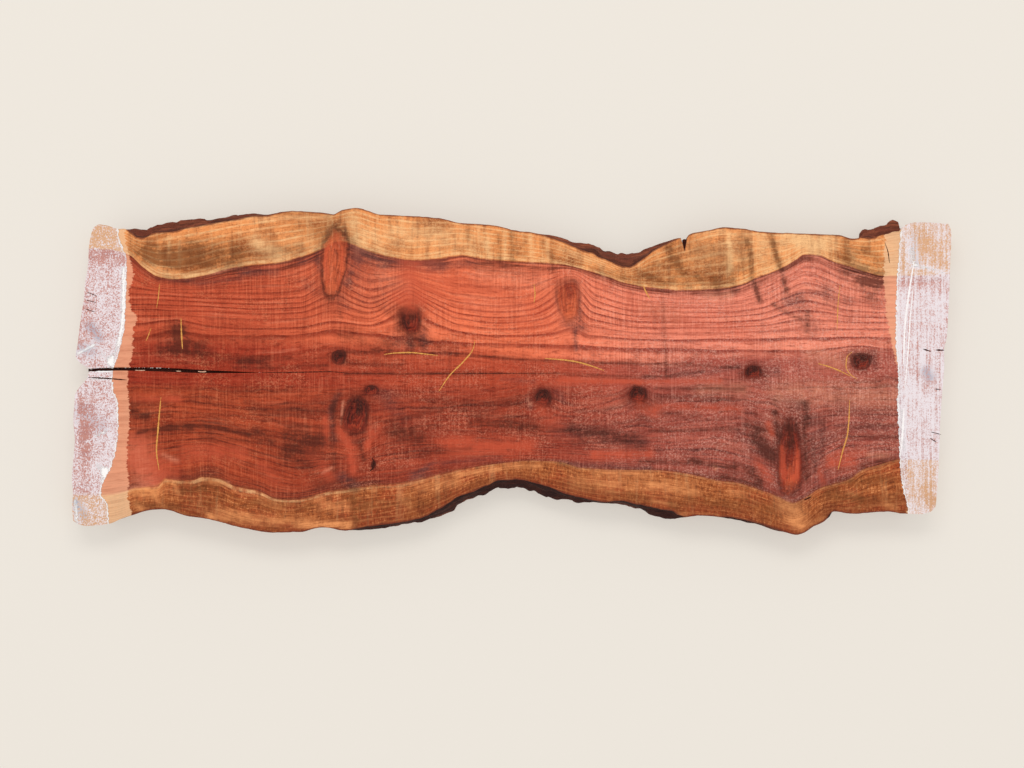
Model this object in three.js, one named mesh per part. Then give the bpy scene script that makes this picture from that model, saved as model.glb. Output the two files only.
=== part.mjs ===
// A redwood slab: one plank sawn through the middle of a small log, lying flat.
// Millimetres, +Z up. The origin is under the middle of the slab, on the surface it rests on.
// +X runs along the log, +Y towards the edge with the bark chunk at its right end.

import * as THREE from 'three';

// Driving sizes
const SLAB_LENGTH = 1524;
const SLAB_THICKNESS = 54;

// How the live edges fall away below the sawn top face. A depth is a share of the thickness.
const UNDERCUT = 7;
const WIDEST_DEPTH = 0.42;
const TUCK_UNDER_DEPTH = 0.6;
const TUCK_UNDER_SHARE = 0.3;

// Furrows of the live edges: shallow in bare wood, deep in bark, none at the sawn rim
const BARE_FURROW = 2.4;
const BARK_FURROW = 5;
const THICK_BARK = 14;
const FURROW_PITCH = 21;
const FURROW_START_DEPTH = 0.12;
const FURROW_WAVES = [
  { rise: 1.1, length: 308, start: 1.3 },
  { rise: 0.64, length: 132, start: 2.1 },
  { rise: 0.36, length: 57, start: 0 },
];

// Wobble of the saw down the two end cuts
const SAW_WOBBLE = 0.6;
const SAW_WOBBLE_LENGTH = 69;

// How finely the outline is stepped
const EDGE_STEP = 14;
const LEVELS = [0, 0.12, 0.27, 0.42, 0.57, 0.72, 0.87, 1];

// The slab's box in the photograph, in pixels of its 1024 by 768 frame
const LEFT_TIP = 72;
const RIGHT_TIP = 951.5;
const FAR_TIP = 207.9;
const NEAR_TIP = 534;
const MM_PER_PIXEL = SLAB_LENGTH / (RIGHT_TIP - LEFT_TIP);

// Outlines as seen from straight above, hand-read from the photograph in its pixels.
// Far and near edges run from left to right, the ends run away from the near edge.
const FAR_EDGE = [
  [91.5, 233], [93, 228], [99.8, 224.5], [108, 225.6], [118, 229], [131, 228.7], [143, 229.8],
  [152.9, 225.6], [166, 223], [182.7, 220.7], [202.6, 219.5], [225.8, 216.5], [254, 213],
  [264, 214.3], [292, 211.8], [316.6, 213], [333, 214.9], [343, 209.9], [355.5, 207.9],
  [366, 210], [379.6, 214.5], [419, 216.5], [441, 218.5], [459, 222.8], [495.7, 225.6],
  [512, 229.8], [527, 232.3], [556.6, 237], [581.5, 243.9], [591.4, 243.9], [598, 248],
  [618, 253], [629.6, 254.4], [639.5, 252], [659.4, 243.9], [681, 237.3], [684.5, 252],
  [688, 235.5], [710.8, 229.8], [724, 226.8], [740.6, 228.3], [763.9, 232], [800, 233.4],
  [840, 234.9], [851.4, 238.2], [861.6, 236.6], [863.5, 230.3], [874.4, 229.3], [882, 225],
  [888.4, 223.8], [894.8, 221.2], [900, 221.2], [901.6, 228.3], [906, 225], [915, 222.5],
  [926.7, 222.5], [948.4, 224],
];
const NEAR_EDGE = [
  [73.3, 521], [78, 524], [86.5, 525.9], [108, 524], [119.7, 519.3], [134.6, 514.3],
  [149.6, 510], [162, 509.2], [172.8, 511], [182.7, 515], [209, 519.3], [240.8, 527.5],
  [259, 530.9], [275.6, 532.5], [300.5, 531.7], [320, 527.5], [349.7, 529.5], [383, 526.7],
  [402.8, 524], [436, 516], [452.6, 510], [464, 501], [489, 491.9], [499, 487.4],
  [515.6, 487], [527, 489.4], [548.7, 497.7], [581.5, 501.8], [614.6, 502.5], [639.5, 510],
  [652.8, 515], [671, 518.4], [702.5, 515], [720.8, 516], [747, 520.9], [764, 525.9],
  [780.5, 531.7], [795.3, 534], [803, 532], [811.9, 525.6], [824.6, 519], [828.5, 512.9],
  [833.6, 510], [856.5, 512.9], [889.7, 511.6], [901, 513.5], [921.6, 514], [930.5, 512],
];
const LEFT_END = [
  [73.3, 521], [72.2, 507], [73, 492.7], [72, 479.4], [73.3, 459.5], [74.8, 439.6],
  [73.3, 420], [74.4, 405], [75, 395], [81.5, 385], [87.4, 377.6], [89, 371.6],
];
const LEFT_END_BEYOND_CRACK = [
  [89, 368.6], [84.9, 366], [78, 360.8], [75.7, 355.8], [77.4, 345.8], [79, 332.6],
  [81.5, 314], [84, 297.8], [84.9, 284.5], [88, 266], [89, 246], [91.5, 233],
];
const RIGHT_END = [
  [930.5, 512], [935, 507.8], [936.3, 500], [938.8, 465.7], [940, 427.4], [942, 395.5],
  [944.3, 362], [944, 349.4], [946.5, 339], [949, 298.4], [950.3, 261.4], [951.5, 234.6],
  [950.3, 228.3], [948.4, 224],
];

// The pith crack: its two lips, from the left end to where it closes
const CRACK_NEAR_LIP = [
  [89, 371.6], [120, 370.6], [150, 371.2], [180, 372.4], [205, 373.1], [236, 373], [262, 372.6],
];
const CRACK_FAR_LIP = [
  [89, 368.6], [120, 367.4], [150, 367.4], [180, 368.6], [205, 370.1], [236, 371.4], [262, 372.6],
];

// How far the bark stands out beyond the rim of the top face, as [place along, width] in pixels
const FAR_BARK = [
  [126, 0], [139.6, 8.5], [152.9, 7.8], [176, 9.9], [186, 7.5], [209, 6.1], [234, 6.2],
  [259, 3.7], [275.6, 1.9], [292, 1], [333, 0.6], [343, 0], [527, 0], [540, 1.3], [556.6, 3.6],
  [573, 4.8], [589.8, 9.1], [606, 10], [619.6, 13], [629.6, 12.6], [639.5, 9.3], [652.8, 4.7],
  [666, 2], [677.7, 1], [684.5, 0], [710, 0], [728, 1], [745, 0], [861.6, 0.6], [863.5, 7.3],
  [877, 8.6], [887, 10], [900, 10.4], [901.6, 0],
];
const NEAR_BARK = [
  [345, 0], [366, 4], [386, 4.5], [406, 4.6], [422.7, 4.8], [436, 7.5], [452.6, 10],
  [465.8, 7.6], [479, 9.5], [509, 8.6], [535.5, 9.5], [548.7, 10.7], [573, 6.5], [606, 2.7],
  [626, 5], [639.5, 6], [669, 8], [686, 0.8], [720, 1], [730, 2.5], [780, 2.5], [792, 0],
];

// A pixel of the photograph as a place on the slab
function fromPhoto([across, down]) {
  const x = (across - (LEFT_TIP + RIGHT_TIP) / 2) * MM_PER_PIXEL;
  const y = ((FAR_TIP + NEAR_TIP) / 2 - down) * MM_PER_PIXEL;
  return new THREE.Vector2(x, y);
}

function smoothstep(from, to, value) {
  return THREE.MathUtils.smoothstep(value, from, to);
}

// Slopes for a curve through hand-read points that never swings past any of them
function steadySlopes(places, heights) {
  const last = places.length - 1;
  const chord = (index) => (heights[index + 1] - heights[index]) / (places[index + 1] - places[index]);
  return places.map((_, index) => {
    if (index === 0) return chord(0);
    if (index === last) return chord(last - 1);
    const before = chord(index - 1);
    const after = chord(index);
    return before * after <= 0 ? 0 : (2 * before * after) / (before + after);
  });
}

function steadyCurve(places, heights) {
  const slopes = steadySlopes(places, heights);
  return (place) => {
    let index = 0;
    while (index < places.length - 2 && place > places[index + 1]) index += 1;
    const span = places[index + 1] - places[index];
    const t = THREE.MathUtils.clamp((place - places[index]) / span, 0, 1);
    const blend = t * t * (3 - 2 * t);
    const height = heights[index] * (1 - blend) + heights[index + 1] * blend;
    const bend = slopes[index] * t * (1 - t) ** 2 - slopes[index + 1] * t * t * (1 - t);
    return height + span * bend;
  };
}

// A hand-read outline as evenly stepped points, keeping every point that was read
function steppedOutline(pixels) {
  const points = pixels.map(fromPhoto);
  const travelled = [0];
  for (let index = 1; index < points.length; index += 1) {
    travelled.push(travelled[index - 1] + points[index].distanceTo(points[index - 1]));
  }
  const curveX = steadyCurve(travelled, points.map((point) => point.x));
  const curveY = steadyCurve(travelled, points.map((point) => point.y));
  const stepped = [];
  for (let index = 0; index < points.length - 1; index += 1) {
    const span = travelled[index + 1] - travelled[index];
    const parts = Math.ceil(span / EDGE_STEP);
    for (let part = 0; part < parts; part += 1) {
      const along = travelled[index] + (span * part) / parts;
      stepped.push(new THREE.Vector2(curveX(along), curveY(along)));
    }
  }
  return stepped;
}

// Width of the bark beyond the top face at a place along the slab
function barkWidth(table) {
  const places = table.map(([across]) => fromPhoto([across, 0]).x);
  const widths = table.map(([, width]) => width * MM_PER_PIXEL);
  const curve = steadyCurve(places, widths);
  return (x) => Math.max(0, curve(THREE.MathUtils.clamp(x, places[0], places[places.length - 1])));
}

const TURN = 2 * Math.PI;

// Long wandering furrows along the log, from 0 on a ridge to 1 in a furrow
function furrow(x, below) {
  let angle = (TURN * below) / FURROW_PITCH;
  for (const { rise, length, start } of FURROW_WAVES) angle += rise * Math.sin((TURN * x) / length + start);
  return (1 - Math.sin(angle)) / 2;
}

// How far a live edge stands out from the top face's rim at a depth from 0, the top, to 1
function edgeStandsOut(x, depth, bark) {
  const tuckUnder = 1 - TUCK_UNDER_SHARE * smoothstep(TUCK_UNDER_DEPTH, 1, depth);
  const bulge = bark * smoothstep(0, WIDEST_DEPTH, depth) * tuckUnder;
  const undercut = UNDERCUT * Math.max(0, (depth - WIDEST_DEPTH) / (1 - WIDEST_DEPTH));
  const furrowDepth = BARE_FURROW + BARK_FURROW * Math.min(1, bark / THICK_BARK);
  const cut = furrowDepth * furrow(x, depth * SLAB_THICKNESS) * smoothstep(0, FURROW_START_DEPTH, depth);
  return bulge - undercut - cut;
}

// One closed line of stations round the slab, each with the way it moves as it goes down
function slabStations() {
  const farBark = barkWidth(FAR_BARK);
  const nearBark = barkWidth(NEAR_BARK);
  const stations = [];
  const addEdge = (pixels, bark, outward) => {
    for (const point of steppedOutline(pixels)) {
      const width = bark(point.x);
      stations.push((depth) => {
        const out = edgeStandsOut(point.x, depth, width) - width;
        return [point.x, point.y + outward * out];
      });
    }
  };
  const addEnd = (pixels, nearCorner, farCorner) => {
    for (const point of steppedOutline(pixels)) {
      const side = Math.sign(point.y);
      const corner = fromPhoto(side < 0 ? nearCorner : farCorner);
      const share = point.y / corner.y;
      const wobble = SAW_WOBBLE * (1 + Math.sin((TURN * point.y) / SAW_WOBBLE_LENGTH));
      const inward = -Math.sign(point.x) * wobble;
      stations.push((depth) => {
        const out = edgeStandsOut(corner.x, depth, 0);
        return [point.x + inward * depth, point.y + side * share * out];
      });
    }
  };
  const addCrack = (pixels) => {
    for (const point of steppedOutline(pixels)) stations.push(() => [point.x, point.y]);
  };
  addEdge(NEAR_EDGE, nearBark, -1);
  addEnd(RIGHT_END, NEAR_EDGE.at(-1), FAR_EDGE.at(-1));
  addEdge([...FAR_EDGE].reverse(), farBark, 1);
  addEnd([...LEFT_END_BEYOND_CRACK].reverse(), NEAR_EDGE[0], FAR_EDGE[0]);
  addCrack(CRACK_FAR_LIP);
  addCrack([...CRACK_NEAR_LIP].reverse());
  addEnd([...LEFT_END].reverse(), NEAR_EDGE[0], FAR_EDGE[0]);
  return stations;
}

// A closed body from level rings of the same stations, with a flat face at the top and bottom
function ringsToSolid(stations) {
  const count = stations.length;
  const rings = LEVELS.map((depth) => stations.map((station) => station(depth)));
  const positions = [];
  rings.forEach((ring, level) => {
    const z = SLAB_THICKNESS * (1 - LEVELS[level]);
    for (const [x, y] of ring) positions.push(x, y, z);
  });
  const triangles = [];
  for (let level = 0; level < LEVELS.length - 1; level += 1) {
    for (let index = 0; index < count; index += 1) {
      const next = (index + 1) % count;
      const top = level * count;
      const below = top + count;
      triangles.push(top + index, below + index, below + next);
      triangles.push(top + index, below + next, top + next);
    }
  }
  const capOf = (ring) => {
    const outline = ring.map(([x, y]) => new THREE.Vector2(x, y));
    return THREE.ShapeUtils.triangulateShape(outline, []);
  };
  const lowest = (LEVELS.length - 1) * count;
  for (const [a, b, c] of capOf(rings[0])) triangles.push(a, b, c);
  for (const [a, b, c] of capOf(rings[LEVELS.length - 1])) triangles.push(lowest + a, lowest + c, lowest + b);
  const geometry = new THREE.BufferGeometry();
  geometry.setAttribute('position', new THREE.Float32BufferAttribute(positions, 3));
  geometry.setIndex(triangles);
  geometry.computeVertexNormals();
  return geometry;
}

// Sawn redwood with a satin, wetted look
function redwood() {
  return new THREE.MeshStandardMaterial({ color: 0xb5643f, roughness: 0.55, metalness: 0 });
}

const slab = new THREE.Mesh(ringsToSolid(slabStations()), redwood());
slab.name = 'slab';

const redwoodSlab = new THREE.Group();
redwoodSlab.add(slab);

export default redwoodSlab;
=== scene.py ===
import math

import bpy
import numpy as np
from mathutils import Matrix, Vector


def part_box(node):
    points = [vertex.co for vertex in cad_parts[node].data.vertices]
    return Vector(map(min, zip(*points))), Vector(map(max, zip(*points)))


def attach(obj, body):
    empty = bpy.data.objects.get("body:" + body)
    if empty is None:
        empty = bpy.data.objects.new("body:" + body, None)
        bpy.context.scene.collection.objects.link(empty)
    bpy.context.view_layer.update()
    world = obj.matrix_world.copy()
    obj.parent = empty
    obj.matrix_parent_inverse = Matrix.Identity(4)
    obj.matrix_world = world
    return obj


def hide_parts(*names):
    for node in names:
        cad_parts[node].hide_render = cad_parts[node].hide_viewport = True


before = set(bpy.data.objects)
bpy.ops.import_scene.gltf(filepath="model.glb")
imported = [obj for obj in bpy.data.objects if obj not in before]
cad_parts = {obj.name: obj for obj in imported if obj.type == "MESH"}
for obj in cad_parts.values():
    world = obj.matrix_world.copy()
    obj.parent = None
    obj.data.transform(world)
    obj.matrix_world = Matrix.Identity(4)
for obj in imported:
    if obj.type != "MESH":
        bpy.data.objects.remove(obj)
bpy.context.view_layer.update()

# The slab in the photograph: its box, in pixels of the 1024 by 768 frame
PHOTO_SIZE = (1024, 768)
LEFT_TIP = 72.0
RIGHT_TIP = 951.5
FAR_TIP = 207.9
NEAR_TIP = 534.0

slab_low, slab_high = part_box("slab")
THICKNESS = slab_high.z
METRES_PER_PIXEL = (slab_high.x - slab_low.x) / (RIGHT_TIP - LEFT_TIP)
MIDDLE = ((LEFT_TIP + RIGHT_TIP) / 2, (FAR_TIP + NEAR_TIP) / 2)
MM = 0.001
NO_DISTANCE = 0.1 * MM
TINY = 1e-9


def place(pixels):
    """Photo pixels as x and y on the slab, in metres."""
    pixels = np.asarray(pixels, float)
    return (pixels - MIDDLE) * METRES_PER_PIXEL * (1, -1)


# Corners of the top face's outline, in photo pixels
NEAR_LEFT = (73.3, 521)
NEAR_RIGHT = (930.5, 512)
FAR_RIGHT = (948.4, 224)
FAR_LEFT = (91.5, 233)
CRACK_FAR_MOUTH = (89, 368.6)
CRACK_TIP = (262, 372.6)
CRACK_NEAR_MOUTH = (89, 371.6)

# The pith and the growth rings on the top face, in photo pixels, from left to right.
# Each ring line carries its ring number, counted from the pith out.
PITH = [
    (60, 370), (262, 372.6), (345, 373.5), (560, 373), (620, 376), (665, 376.5), (705, 369), (755, 370),
    (860, 364), (960, 361),
]
HEART_RINGS = 14
BARK_RINGS = 26
FAR_RINGS = [
    (2, [(60, 356), (135, 352), (175, 350), (255, 355), (335, 347.5), (370, 352), (440, 352), (500, 357.5),
         (560, 361.5), (610, 363), (720, 364.5), (755, 360), (805, 361), (850, 351), (885, 354), (960, 352)]),
    (3, [(60, 336), (135, 337), (175, 330), (210, 334), (255, 335.5), (300, 334), (335, 330), (370, 333),
         (409, 338), (440, 341), (500, 343.5), (573, 344.5), (610, 347), (720, 349), (805, 350), (862, 346),
         (895, 349.5), (960, 347)]),
    (4, [(60, 322), (135, 323), (175, 319.5), (210, 326), (255, 328.5), (300, 327), (335, 321.5), (370, 325),
         (395, 316), (409, 313), (425, 319), (460, 331), (500, 335.5), (540, 334.5), (573, 329), (590, 335),
         (660, 339.5), (760, 338.5), (805, 337.3), (885, 337), (960, 335)]),
    (5, [(60, 314), (135, 315), (200, 316), (255, 319.5), (300, 318), (335, 311), (370, 318), (395, 306),
         (409, 300), (425, 308), (460, 324), (500, 328.5), (540, 326), (573, 316), (590, 326), (660, 333.5),
         (760, 331.5), (805, 328.5), (885, 328.5), (960, 327)]),
    (9, [(60, 296), (135, 294), (210, 298), (255, 299), (300, 297), (318, 288), (335, 281), (352, 290),
         (370, 297), (395, 289), (409, 283), (425, 290), (460, 302), (500, 305.5), (530, 303), (548, 294),
         (573, 281), (595, 300), (640, 311), (720, 312), (760, 308), (785, 298), (805, 292), (825, 296),
         (850, 304), (885, 307), (960, 305)]),
    (HEART_RINGS, [
        (60, 248), (110, 250), (129.6, 256), (143, 268), (159.5, 278), (176, 280), (201, 277), (226, 270),
        (250.7, 266), (275.6, 264), (300.5, 258), (320, 251), (340, 243), (352, 246), (370, 252), (391, 258),
        (416, 261), (441, 259), (462.5, 256), (482, 259.5), (515.6, 262), (560, 265), (590, 272),
        (606, 277), (626, 284), (656, 289), (681, 291), (714, 290), (739, 286), (755.6, 279), (772, 273),
        (786, 266.5), (795, 261), (805.5, 255), (818, 256), (831, 261.4), (846, 266.5), (863, 271.6),
        (884, 276.7), (920, 276), (960, 274)]),
    (BARK_RINGS, [
        (60, 222), (110, 225), (139.6, 238), (176, 231), (234, 221), (292, 212.5), (333, 213), (355, 207.5),
        (380, 214), (441, 218), (500, 227), (540, 234.5), (573, 246.4), (606, 260.5), (628, 267.5),
        (652.8, 251.4), (690, 235), (724, 226), (800, 233), (862, 237.5), (899, 230), (960, 223)]),
]
NEAR_RINGS = [
    (2, [(60, 391), (175, 389.5), (255, 394), (335, 392), (370, 393), (440, 394), (500, 391), (543, 384),
         (573, 389), (610, 386), (638, 382), (660, 388), (720, 387), (805, 391), (960, 389)]),
    (6, [(60, 430), (135, 431), (175, 427), (210, 428), (255, 436), (300, 444), (335, 448), (355, 452),
         (380, 440), (409, 433), (440, 431), (500, 433), (545, 438), (610, 436), (660, 434), (735, 430),
         (770, 440), (790, 452), (815, 440), (850, 430), (960, 431)]),
    (10, [(60, 464), (135, 462), (175, 455), (205, 452), (225, 456), (262, 468), (300, 477), (335, 470),
          (370, 464), (409, 459.5), (460, 457.5), (500, 457), (545, 456), (600, 461), (670, 464), (720, 469),
          (760, 480), (792, 494), (815, 478), (850, 463), (885, 456), (960, 452)]),
    (HEART_RINGS, [
        (60, 494), (101.5, 495), (126, 491), (134.6, 487.7), (157, 486), (166, 479), (180, 480.5),
        (192.7, 480), (203, 477), (217.5, 478.5), (234, 486), (259, 491), (275, 498), (290, 499.5),
        (307, 497.5), (333, 491), (366, 486), (399.5, 483.6), (432.7, 476), (466, 468.5), (499, 463.5),
        (532, 460.5),
        (560, 462), (581.5, 467.8), (614.6, 469.5), (656, 470), (689, 474), (714, 479.5), (739, 483),
        (765, 491), (780.5, 498), (792.8, 503), (805.5, 497.6), (818, 488.6), (833.6, 483.5), (850, 478.4),
        (863, 469.5), (879.5, 464.4), (900, 459), (960, 462)]),
    (BARK_RINGS, [
        (60, 523), (110, 524), (149.6, 510), (172.8, 511), (209, 519.3), (259, 531), (300.5, 532), (350, 528),
        (386, 522), (422.7, 514.3), (452.6, 500), (479, 486), (509, 478.6), (548.7, 487), (606, 500),
        (669, 510), (740, 518), (795, 534), (828, 513), (890, 512), (960, 513)]),
]

# Knots on the top face, in photo pixels: centre, half width, half height, lean in degrees, and then
# from 0 to 1 how light the knot is, how dark its outline, and how dark the wood round it
KNOTS = [
    ((334, 263), 12, 34, 6, 0.95, 0.75, 0.35),
    ((410.5, 320), 10.5, 14, -8, 0.14, 0.55, 0.55),
    ((339, 357.5), 6.5, 7, 0, 0.1, 0.9, 0.6),
    ((356, 415), 12, 18, 12, 0.22, 0.6, 0.35),
    ((371, 390), 8, 5, 0, 0.22, 0.3, 0.4),
    ((568.5, 300), 11, 20, -4, 0.7, 0.4, 0.12),
    ((543, 397), 9, 8.5, 20, 0.08, 0.3, 0.6),
    ((638, 394), 9.5, 8.5, 15, 0.1, 0.3, 0.6),
    ((753, 371.5), 9, 6.5, 0, 0.1, 0.2, 0.75),
    ((861, 361.5), 10, 8, 0, 0.14, 0.7, 0.45),
    ((790, 457), 11.5, 36, 0, 0.45, 0.55, 0.5),
    ((373.5, 464.5), 2.8, 4, 0, 0.0, 0.2, 0.5),
    ((928, 374), 6, 5, 0, 0.3, 0.2, 0.5),
]
# Knots are slightly blunter than ovals, for which this is 2
KNOT_BLUNTNESS = 2.4
# Knots of the hidden underside, made up, in the same words
UNDERSIDE_KNOTS = [
    ((215, 300), 12, 17, 10, 0.25, 0.5, 0.4),
    ((338, 440), 12, 24, -8, 0.7, 0.6, 0.4),
    ((452, 352), 8, 8, 0, 0.1, 0.4, 0.6),
    ((585, 285), 12, 28, -6, 0.85, 0.6, 0.4),
    ((690, 418), 10, 11, 12, 0.1, 0.4, 0.6),
    ((802, 330), 13, 16, 0, 0.3, 0.5, 0.5),
]

# How much further out the live edges lie in the photo than in the solid, as pixels (across, out)
NEAR_FILL = [
    (60, 0), (330, 0), (345, 1.6), (390, 2.5), (415, 2.6), (442, 1.6), (456, 0), (472, 2.8), (500, 1.8),
    (530, 0.6), (543, -0.6), (560, 1), (576, 1), (605, 2.4), (632, 1.4), (646, 0), (672, 0), (695, 1.2),
    (735, 2.4), (765, 1.2), (790, 0.4), (820, 1.8), (845, 1.4), (870, 0), (960, 0),
]
FAR_FILL = [
    (60, 0), (195, 0), (208, 0.6), (225, 1.6), (325, 1.6), (345, 0), (520, 0), (540, 1.4), (572, 1),
    (590, 1), (612, 1.3), (624, 0), (960, 0),
]

# Strokes that tint the wood of the top face, in photo pixels: the line they follow, half width, and
# strength from 0 to 1. Umber strokes are dark streaks and stain.
UMBER_STROKES = [
    ([(337, 252), (338, 268), (335, 284)], 1.5, 0.35), ([(791, 428), (791, 448)], 5, 0.3),
    ([(345, 352.5), (380, 351.5), (440, 353), (500, 357.5), (560, 361.5), (620, 363), (690, 364.5),
      (738, 368)], 1.5, 0.6),
    ([(345, 373.5), (480, 373.5), (560, 373.5), (620, 377), (670, 376.5), (705, 370)], 1.4, 0.5),
    ([(232, 367), (290, 367), (330, 366)], 1.6, 0.45), ([(240, 362), (266, 363)], 4, 0.55),
    ([(215, 360), (330, 358)], 3, 0.3), ([(178, 331), (180, 342)], 9, 1.0),
    ([(164, 348), (204, 351)], 10, 0.6), ([(340, 362), (400, 364)], 5, 0.3),
    ([(318, 484), (350, 484)], 7, 0.35), ([(773, 304), (785, 312), (801, 319)], 2.2, 0.55),
    ([(807, 312), (807, 331)], 2.6, 0.6), ([(846, 255), (862, 252)], 6, 0.4),
    ([(850, 266), (880, 277)], 7, 0.6), ([(862, 281), (882, 285)], 7, 0.6),
    ([(868, 296), (877, 299)], 6, 0.3), ([(747, 240), (751, 261), (752, 277), (760, 302)], 2.6, 0.8),
    ([(771, 235), (775, 252), (782, 271), (787, 292)], 2.8, 0.85), ([(663, 300), (666, 375)], 2.2, 0.3),
    ([(667, 243), (676, 262)], 5.5, 0.65), ([(676, 262), (684, 272)], 3, 0.4),
    ([(690, 246), (724, 264)], 12, 0.32), ([(700, 276), (724, 284)], 6, 0.35),
    ([(714, 279), (717, 292)], 3, 0.6), ([(732, 274), (735, 291)], 3.5, 0.55),
    ([(740, 235), (743, 270)], 4, 0.35), ([(845, 240), (848, 256)], 4, 0.4),
    ([(867, 250), (878, 262)], 6, 0.3), ([(842, 271), (872, 285)], 9, 0.35),
    ([(384, 341), (420, 345)], 6, 0.3), ([(640, 272), (662, 284)], 6, 0.3),
    ([(148, 253), (170, 262)], 8, 0.5), ([(136, 250), (190, 256)], 12, 0.45),
    ([(674, 277), (698, 278)], 5, 0.4), ([(652, 262), (680, 266)], 8, 0.3),
    ([(396, 432), (420, 440)], 9, 0.5), ([(296, 228), (328, 232)], 8, 0.3),
    ([(345, 336), (385, 350)], 9, 0.3), ([(410, 340), (450, 346)], 9, 0.3),
    ([(190, 246), (236, 250)], 10, 0.5), ([(178, 262), (215, 262)], 6, 0.35),
    ([(468, 226), (468, 240)], 2.6, 0.4), ([(499, 235), (500, 260)], 2.8, 0.5),
    ([(512, 232), (513, 260)], 3.2, 0.55), ([(525, 236), (525, 256)], 2.5, 0.3),
    ([(543, 238), (543, 248)], 2.5, 0.35), ([(551, 250), (552, 272)], 2.2, 0.5),
    ([(600, 271), (640, 284)], 4, 0.4), ([(255, 214), (330, 214)], 2, 0.25),
    ([(131, 411), (146, 416)], 4.5, 0.95), ([(138, 432), (160, 428), (205, 426), (250, 434)], 2.6, 0.7),
    ([(159, 428), (192, 428)], 3, 0.4), ([(131, 404), (165, 404)], 4, 0.25),
    ([(256, 431), (272, 441)], 5, 0.55), ([(287, 434), (320, 438)], 7, 0.6),
    ([(290, 448), (322, 446)], 8, 0.5), ([(284, 456), (312, 463)], 9, 0.45),
    ([(200, 437), (260, 442)], 2.6, 0.35), ([(250, 410), (325, 412)], 3.5, 0.35),
    ([(290, 426), (325, 427)], 2, 0.5), ([(333, 404), (334, 470)], 3, 0.45),
    ([(338, 395), (332, 408)], 3.5, 0.55), ([(360, 443), (364, 460)], 2.2, 0.55),
    ([(385, 421), (440, 411)], 3, 0.35), ([(385, 433), (440, 425)], 2.6, 0.3),
    ([(400, 456), (470, 449)], 3, 0.35), ([(430, 404), (520, 402)], 5, 0.35),
    ([(480, 416), (535, 428)], 7, 0.4), ([(470, 423), (640, 436)], 2.6, 0.4),
    ([(572, 428), (600, 432), (640, 446)], 8, 0.34), ([(575, 440), (640, 441)], 5, 0.25),
    ([(640, 408), (660, 402)], 4, 0.25), ([(655, 388), (745, 389)], 2, 0.5),
    ([(650, 431), (738, 429)], 2, 0.55), ([(660, 413), (700, 417)], 3, 0.3),
    ([(655, 397), (745, 399)], 2, 0.3), ([(690, 460), (735, 468)], 2.6, 0.6),
    ([(640, 461), (700, 463)], 2.2, 0.5), ([(720, 476), (760, 484)], 5, 0.5),
    ([(735, 466), (752, 471)], 5, 0.4), ([(748, 428), (764, 432)], 6, 0.65),
    ([(757, 440), (770, 457)], 6.5, 0.85), ([(766, 448), (774, 452)], 5, 0.5),
    ([(775, 412), (779, 442)], 4, 0.65), ([(805, 405), (808, 422)], 5, 0.7),
    ([(804, 425), (807, 480)], 3, 0.6), ([(813, 440), (815, 470)], 3.5, 0.45),
    ([(822, 420), (823, 460)], 2.6, 0.35), ([(752, 470), (760, 481)], 5, 0.45),
    ([(828, 470), (860, 467)], 2.6, 0.35), ([(862, 467), (894, 459)], 4, 0.6),
    ([(845, 428), (896, 424)], 2.2, 0.4), ([(845, 437), (896, 437)], 2.2, 0.4),
    ([(185, 489), (216, 489)], 7, 0.65), ([(187, 501), (222, 506)], 4.5, 0.4),
    ([(135, 503), (180, 508)], 2.2, 0.5), ([(173, 513), (200, 515)], 2.6, 0.45),
    ([(250, 502), (310, 507)], 5, 0.35), ([(353, 499), (356, 521)], 4, 0.6),
    ([(362, 505), (410, 502)], 6, 0.45), ([(420, 505), (450, 491)], 4, 0.4),
    ([(671, 502), (677, 511)], 5, 0.45), ([(690, 498), (745, 506)], 5, 0.4),
    ([(745, 498), (775, 511)], 6, 0.4), ([(830, 492), (858, 500)], 7, 0.6),
    ([(845, 481), (892, 478)], 5, 0.45), ([(862, 501), (900, 498)], 5, 0.35),
    ([(565, 482), (650, 500)], 5, 0.3), ([(121.5, 489), (122, 516)], 2, 0.6),
    ([(338, 300), (341, 318)], 2, 0.3), ([(375, 303), (395, 318)], 2.5, 0.3),
    ([(788, 424), (789, 444)], 5, 0.5), ([(150, 256), (236, 264)], 8, 0.45),
    ([(236, 256), (300, 249)], 7, 0.35), ([(350, 300), (362, 312)], 6, 0.2),
    ([(400, 318), (398, 330)], 4, 0.4), ([(640, 275), (690, 287)], 3, 0.4),
]
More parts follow.
